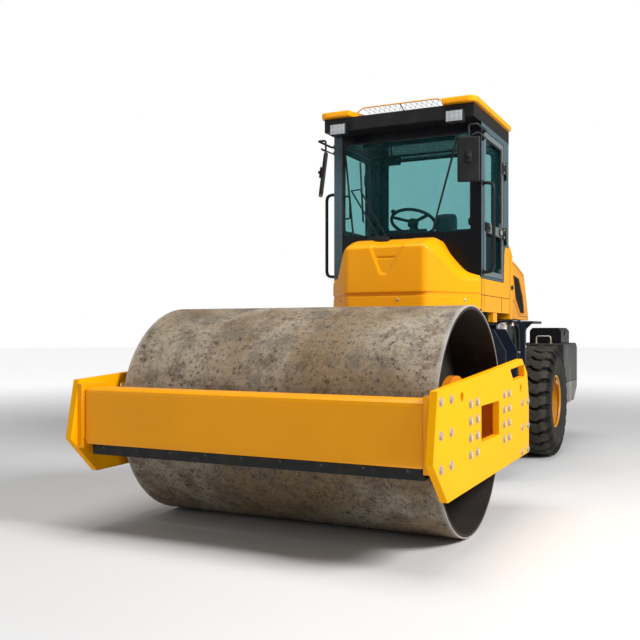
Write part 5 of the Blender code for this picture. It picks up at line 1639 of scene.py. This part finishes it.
    def levers(self) -> None:
        """The side console's levers with gaiters, pedals and a ribbed floor mat."""
        console_x, top = 0.445, 2.080
        mold = Mold("levers")
        for y in (0.100, 0.240):
            mold.lathe([(0, 0), (0, 0.040), (0.012, 0.036), (0.020, 0.030), (0.030, 0.026), (0.040, 0.018),
                        (0.050, 0.012),
                        (0.050, 0)], aim((console_x, y, top - 0.001), (0, 0, 1)), 24)
            mold.tube([(console_x, y, top + 0.04), (console_x, y - 0.010, top + 0.08)], 0.006, 10)
            mold.lathe([(0, 0), (0, 0.012), (0.012, 0.020), (0.040, 0.023), (0.060, 0.018), (0.068, 0)],
                       aim((console_x, y - 0.010, top + 0.075), (0, -0.15, 1)), 20)
        for x in (-0.16, 0.16):
            mold.box((x - 0.045, -0.165, 1.640), (x + 0.045, -0.150, 1.760), 0.006, 2)
            mold.tube([(x, -0.160, 1.66), (x, -0.185, 1.602)], 0.008, 8)
        mold.set(PLASTIC, self.body)
        mat = Mold("floor_mat")
        floor = 1.6003
        for i in range(30):
            x = -0.45 + i * 0.025
            mat.box((x, -0.270, floor), (x + 0.014, 0.020, floor + 0.006), 0.002, 1)
        mat.set(SEAL, self.body)

    def wheel_trim(self) -> None:
        """The steering wheel's horn cap and spinner knob."""
        low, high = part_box("steering_wheel")
        centre = Vector((0, -0.130, 2.180))
        normal = Vector((0, math.sin(math.radians(28)), math.cos(math.radians(28))))
        mold = Mold("wheel_trim")
        mold.lathe([(0.008, 0), (0.008, 0.040), (0.016, 0.038), (0.020, 0.028), (0.022, 0)],
                   aim(centre, normal), 32)
        knob = centre + Vector((-0.150, 0, 0)) + Vector((0, -normal.z, normal.y)) * 0.118
        mold.lathe([(0.010, 0), (0.010, 0.010), (0.022, 0.010), (0.030, 0.020), (0.044, 0.022),
                    (0.054, 0.014), (0.056, 0)],
                   aim(knob, normal), 20)
        mold.set(PLASTIC, "steering_wheel")
        LOG.info("steering wheel is %.3f m wide", (high - low).x)

    def hangings(self) -> None:
        """The inner mirror and the sun blind's roll."""
        mold = Mold("inner_mirror")
        mold.box((-0.230, -0.255, 2.660), (-0.070, -0.235, 2.730), 0.010)
        mold.tube([(-0.150, -0.245, 2.725), (-0.150, -0.262, 2.800), (-0.150, -0.280, 2.868)], 0.006, 8)
        mold.lathe([(-0.20, 0), (-0.20, 0.020), (0.62, 0.020), (0.62, 0)],
                   aim((-0.21, -0.262, 2.842), (1, 0, 0)), 20)
        mold.set(PLASTIC, self.body)

    def build(self) -> None:
        """Makes the interior."""
        self.seat()
        self.dash()
        self.levers()
        self.wheel_trim()
        self.hangings()


# ------------------------------------------------------------------ rear frame
@dataclass
class Chassis:
    """Fittings of the rear frame: filler, hoses, steps' treads, lockers, tail lamps and exhaust guard."""

    axle_y: float = -2.0
    body: str = "rear_frame"

    def filler(self, side: Side) -> None:
        """The tank's ribbed filler cap with its chain, on the tilted neck."""
        direction = Vector((0, -math.sin(math.radians(48)), math.cos(math.radians(48))))
        foot = Vector((0.660, self.axle_y + 2.372, 1.205))
        mold = Mold(named("filler_cap", side), side)
        mold.lathe([(0.084, 0), (0.084, 0.050), (0.112, 0.050), (0.119, 0.044), (0.119, 0.026),
                    (0.114, 0.022), (0.114, 0)], aim(foot, direction), 48)
        for i in range(24):
            a = 2 * math.pi * i / 24
            side_way = Vector((1, 0, 0)) * math.cos(a) + direction.cross(Vector((1, 0, 0))) * math.sin(a)
            start = foot + side_way * 0.050
            mold.tube([start + direction * 0.088, start + direction * 0.110], 0.0020, 6)
        mold.set(CHROME, self.body)
        chain = Mold(named("filler_chain", side), side)
        start, end = foot + direction * 0.10 + Vector((0.038, 0, 0)), foot + Vector((0.018, 0.020, 0.012))
        for i in range(12):
            t = i / 11
            place = start.lerp(end, t) + Vector((0.010, 0, -0.035)) * math.sin(math.pi * t)
            turn = Matrix.Translation(place) @ Matrix.Rotation(i * math.pi / 2, 4, "Z")
            ring = [turn @ Vector((0, 0.004 * math.cos(a), 0.0055 * math.sin(a)))
                    for a in np.linspace(0, 2 * math.pi, 9)[:-1]]
            chain.tube(ring, 0.0011, 5, closed=True)
        chain.set(ZINC, self.body)

    def hoses(self, side: Side) -> None:
        """Two hydraulic hoses from the tank's top down past the post, with their fittings."""
        hose = Mold(named("tank_hoses", side), side)
        ends = Mold(named("hose_ends", side), side)
        for x, y, back in ((0.655, 2.430, 2.590), (0.690, 2.560, 2.738)):
            path = [(x, y, 1.296), (x + 0.004, y + 0.02, 1.318), (x + 0.022, y + 0.13, 1.290),
                    (0.7105, back, 1.170), (0.7105, back, 0.980), (0.700, back, 0.840)]
            hose.tube([(px, self.axle_y + py, pz) for px, py,
                       pz in [tuple(p) for p in arc_path(path, 0.07)]], 0.0130, 12)
            ends.lathe([(0, 0), (0, 0.017), (0.016, 0.017), (0.018, 0.013), (0.030, 0.013), (0.030, 0)],
                       aim((x, self.axle_y + y, 1.288), (0, 0.1, 1)), 6)
            ends.box((0.700, self.axle_y + back - 0.018, 1.040),
                     (0.7225, self.axle_y + back + 0.018, 1.058), 0.003)
        hose.set(SEAL, self.body)
        ends.set(ZINC, self.body)

    def bracket(self, side: Side) -> None:
        """The post's bolted bracket and the yellow tab under the panels."""
        mold = Mold(named("post_bracket", side), side)
        mold.box((0.7005, self.axle_y + 2.500, 0.800), (0.7065, self.axle_y + 2.720, 0.985), 0.002, 1)
        mold.slab([(self.axle_y + 2.722, 0.640), (self.axle_y + 2.758, 0.640), (self.axle_y + 2.758, 1.290),
                   (self.axle_y + 2.722, 1.290)], "x", (0.445, 0.695), 0.003)
        mold.set(NAVY_PAINT, self.body)
        dots = Mold(named("post_bolts", side), side)
        for k in range(5):
            dots.bolt((0.7065, self.axle_y + 2.535, 0.820 + 0.036 * k), (1, 0, 0), 0.007, 0.006)
        for z in (0.70, 1.10, 1.26):
            dots.bolt((0.760, self.axle_y + 2.788, z), (1, 0, 0), 0.010, 0.008)
        dots.set(ZINC, self.body)
        tab = Mold(named("panel_tab", side), side)
        tab.box((0.600, self.axle_y + 2.060, 1.318), (0.650, self.axle_y + 2.180, 1.3995), 0.003, 1)
        tab.set(BODY_PAINT, self.body)

    def steps(self, side: Side) -> None:
        """Raised teeth on the ladder's treads."""
        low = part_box("step_left")[0]
        mold = Mold(named("tread_teeth", side), side)
        for z in (0.470, 0.810):
            for i in range(4):
                for k in range(9):
                    x, y = 0.685 + i * 0.036, low.y + 0.045 + k * 0.040
                    mold.lathe([(-0.001, 0), (-0.001, 0.010), (0.004, 0.0075), (0.004, 0.005),
                                (0.002, 0.0045), (0.002, 0)],
                               aim((x, y, z), (0, 0, 1)), 10)
        mold.set(NAVY_PAINT, self.body)

    def lockers(self, side: Side) -> None:
        """The lid, its hasp and the handle rail in front of the locker."""
        low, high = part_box("locker_left")
        mold = Mold(named("locker_trim", side), side)
        mold.box((low.x + 0.034, low.y + 0.012, high.z - 0.006),
                 (high.x - 0.034, high.y - 0.012, high.z - 0.0003), 0.002, 1)
        mold.box((high.x - 0.003, low.y + 0.200, high.z - 0.090),
                 (high.x + 0.006, low.y + 0.260, high.z - 0.030), 0.003)
        mold.set(BLACK_PAINT, self.body)
        rail = Mold(named("tail_handle", side), side)
        y = low.y - 0.110
        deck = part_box("counterweight")[1].z
        rail.tube(arc_path([(0.545, y, deck - 0.002), (0.545, y, deck + 0.078), (0.700, y, deck + 0.078),
                            (0.700, y, deck - 0.002)], 0.030), 0.0085, 12)
        collar = [(-0.002, 0.008), (-0.002, 0.022), (0.004, 0.022), (0.004, 0.008)]
        for x in (0.545, 0.700):
            rail.lathe(collar, aim((x, y, deck), (0, 0, 1)), 24)
        rail.set(ZINC, self.body)

    def tail(self) -> None:
        """The counterweight's cast seam, lifting eyes and tail lamps."""
        low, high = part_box("counterweight")
        seam = Mold("tail_seam")
        z = TAIL_SEAM
        for x in (-high.x - 0.0004, high.x + 0.0004):
            seam.tube([(x, low.y + 0.02, z), (x, high.y - 0.004, z)], 0.003, 6)
        seam.tube([(-high.x + 0.01, high.y - 0.0029, z), (high.x - 0.01, high.y - 0.0029, z)], 0.003, 12)
        seam.set(DARK, self.body)
        locker_low, locker_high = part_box("locker_left")
        for side in Side:
            shell = Mold(named("tail_lamp_shell", side), side)
            x0, z0, back = (locker_low.x + locker_high.x) / 2 - 0.085, locker_low.z + 0.050, locker_high.y
            shell.box((x0, back - 0.002, z0), (x0 + 0.170, back + 0.026, z0 + 0.080), 0.006)
            shell.set(PLASTIC, self.body)
            for finish, start, end, word in ((RED_LENS, 0.070, 0.162, "red"),
                                             (AMBER_LENS, 0.008, 0.066, "amber")):
                lens = Mold(named(f"tail_lens_{word}", side), side)
                lens.box((x0 + start, back + 0.020, z0 + 0.008), (x0 + end, back + 0.034, z0 + 0.072),
                         0.004)
                lens.set(finish, self.body)
            eye = Mold(named("lifting_eye", side), side)
            ring = [(0.250 + 0.038 * math.cos(a), high.y - 0.240, high.z + 0.036 + 0.038 * math.sin(a))
                    for a in np.linspace(0, 2 * math.pi, 25)[:-1]]
            eye.tube(ring, 0.010, 10, closed=True)
            foot = [(-0.002, 0), (-0.002, 0.030), (0.008, 0.028), (0.010, 0)]
            eye.lathe(foot, aim((0.250, high.y - 0.240, high.z), (0, 0, 1)), 24)
            eye.set(ZINC, self.body)

    def exhaust(self) -> None:
        """The stack's wire guard, and the lip round its mouth."""
        low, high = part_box("exhaust_stack")
        middle = (low + high) / 2
        radius = (high.x - low.x) / 2
        guard = Mold("exhaust_guard")

        def wrap(turn: float, z: float, h: float) -> Point:
            """A point on the guard's round surface."""
            a = turn / 0.050
            r = 0.046 + h
            return (middle.x + r * math.cos(a), middle.y + r * math.sin(a), z)

        whole = 2 * math.pi * 0.050
        for i in range(24):
            turn = whole * i / 24
            path = [wrap(turn + 0.16 * t, low.z + 0.10 + 0.30 * t, 0) for t in np.linspace(0, 1, 9)]
            guard.tube(path, 0.0022, 5)
            path = [wrap(turn - 0.16 * t, low.z + 0.10 + 0.30 * t, 0.002) for t in np.linspace(0, 1, 9)]
            guard.tube(path, 0.0022, 5)
        for z in (low.z + 0.10, low.z + 0.40):
            guard.lathe([(-0.008, radius), (-0.008, 0.051), (0.008, 0.051), (0.008, radius)],
                        aim((middle.x, middle.y, z), (0, 0, 1)), 36)
        guard.set(MESH_METAL, self.body)
        pipe = Mold("exhaust_lip")
        pipe.lathe([(-0.020, radius - 0.001), (-0.020, radius + 0.004), (-0.0005, radius + 0.004),
                    (-0.0005, radius - 0.004)],
                   aim((middle.x, middle.y, high.z), (0, 0, 1)), 36)
        pipe.set(CAST, self.body)

    def build(self) -> None:
        """Makes the rear frame's fittings."""
        for side in Side:
            self.filler(side)
            self.hoses(side)
            self.bracket(side)
            self.steps(side)
            self.lockers(side)
        self.tail()
        self.exhaust()


# ------------------------------------------------------------------ studio
@dataclass
class Studio:
    """The pale floor, soft lights and the camera."""

    camera_place: tuple[float, float, float] = (2.464, -6.956, 1.241)
    camera_yaw: float = 26.21
    lens: float = 47.08
    rise: float = 0.0177
    ambient: float = 0.25

    def floor(self) -> None:
        """A pale flat floor that glows white further away, as a backdrop."""
        bm = bmesh.new()
        bmesh.ops.create_circle(bm, cap_ends=True, radius=60, segments=64)
        mesh = bpy.data.meshes.new("floor")
        bm.to_mesh(mesh)
        bm.free()
        obj = bpy.data.objects.new("floor", mesh)
        bpy.context.scene.collection.objects.link(obj)
        graph = Graph("look_floor")
        tone = graph.noise(0.8, 4.0)
        reach = graph.node("ShaderNodeVectorMath", {"operation": "LENGTH"}, {0: graph.place()}, 1)
        away = reach.step(3.5, 15.0)
        graph.feed(Base_Color=graph.blend(tone, (0.66, 0.66, 0.66), (0.62, 0.62, 0.62)), Roughness=0.75,
                   Emission_Color=graph.blend(away, (0.0, 0.0, 0.0), (0.75, 0.75, 0.75)),
                   Emission_Strength=1.0)
        mesh.materials.append(graph.material)

    def light(self, name: str, place: Point, target: Point, size: float, power: float) -> None:
        """Adds a soft square light aimed at a target."""
        data = bpy.data.lights.new(name, "AREA")
        data.size, data.energy = size, power
        obj = bpy.data.objects.new(name, data)
        bpy.context.scene.collection.objects.link(obj)
        obj.location = place
        obj.rotation_euler = (Vector(target) - Vector(place)).to_track_quat("-Z", "Y").to_euler()

    def build(self) -> None:
        """Sets the stage."""
        self.floor()
        world = bpy.data.worlds.new("studio")
        world.use_nodes = True
        sky = world.node_tree.nodes["Background"]
        seen = world.node_tree.nodes.new("ShaderNodeLightPath")
        level = world.node_tree.nodes.new("ShaderNodeMapRange")
        level.inputs[3].default_value, level.inputs[4].default_value = self.ambient, 1.0
        world.node_tree.links.new(seen.outputs[0], level.inputs[0])
        world.node_tree.links.new(level.outputs[0], sky.inputs[1])
        sky.inputs[0].default_value = (1.0, 1.0, 1.0, 1.0)
        bpy.context.scene.world = world
        bpy.context.scene.view_settings.view_transform = "Standard"
        self.light("key", (9.0, -3.0, 7.0), (0.5, -0.5, 0.8), 3.2, 1380)
        self.light("top", (0.0, -2.4, 8.5), (0.0, -1.2, 1.0), 5.0, 420)
        self.light("fill", (-6.0, -8.0, 4.0), (0.0, 0.0, 1.2), 5.0, 70)
        data = bpy.data.cameras.new("camera")
        data.lens, data.shift_y = self.lens, self.rise
        camera = bpy.data.objects.new("camera", data)
        bpy.context.scene.collection.objects.link(camera)
        camera.location = self.camera_place
        camera.rotation_euler = (math.radians(90), 0, math.radians(self.camera_yaw))
        bpy.context.scene.camera = camera


def dress_frame() -> None:
    """Gives every CAD node its finish."""
    for finish, nodes in CAD_FINISHES.items():
        for name in nodes:
            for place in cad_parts[name].material_slots:
                place.material = finish.material()
            LOG.info("%s is finished in %s", name, finish.name)


def main() -> None:
    """Builds the machine's look in order, and keeps its size."""
    logging.basicConfig(level=logging.INFO, format="%(name)s: %(message)s")
    Studio().build()
    dress_frame()
    for assembly in (DrumFrame(), Steering(), Wheel(), Cowl(), Hood(), Cab(), Interior(), Chassis()):
        assembly.build()


if __name__ == "__main__":
    main()
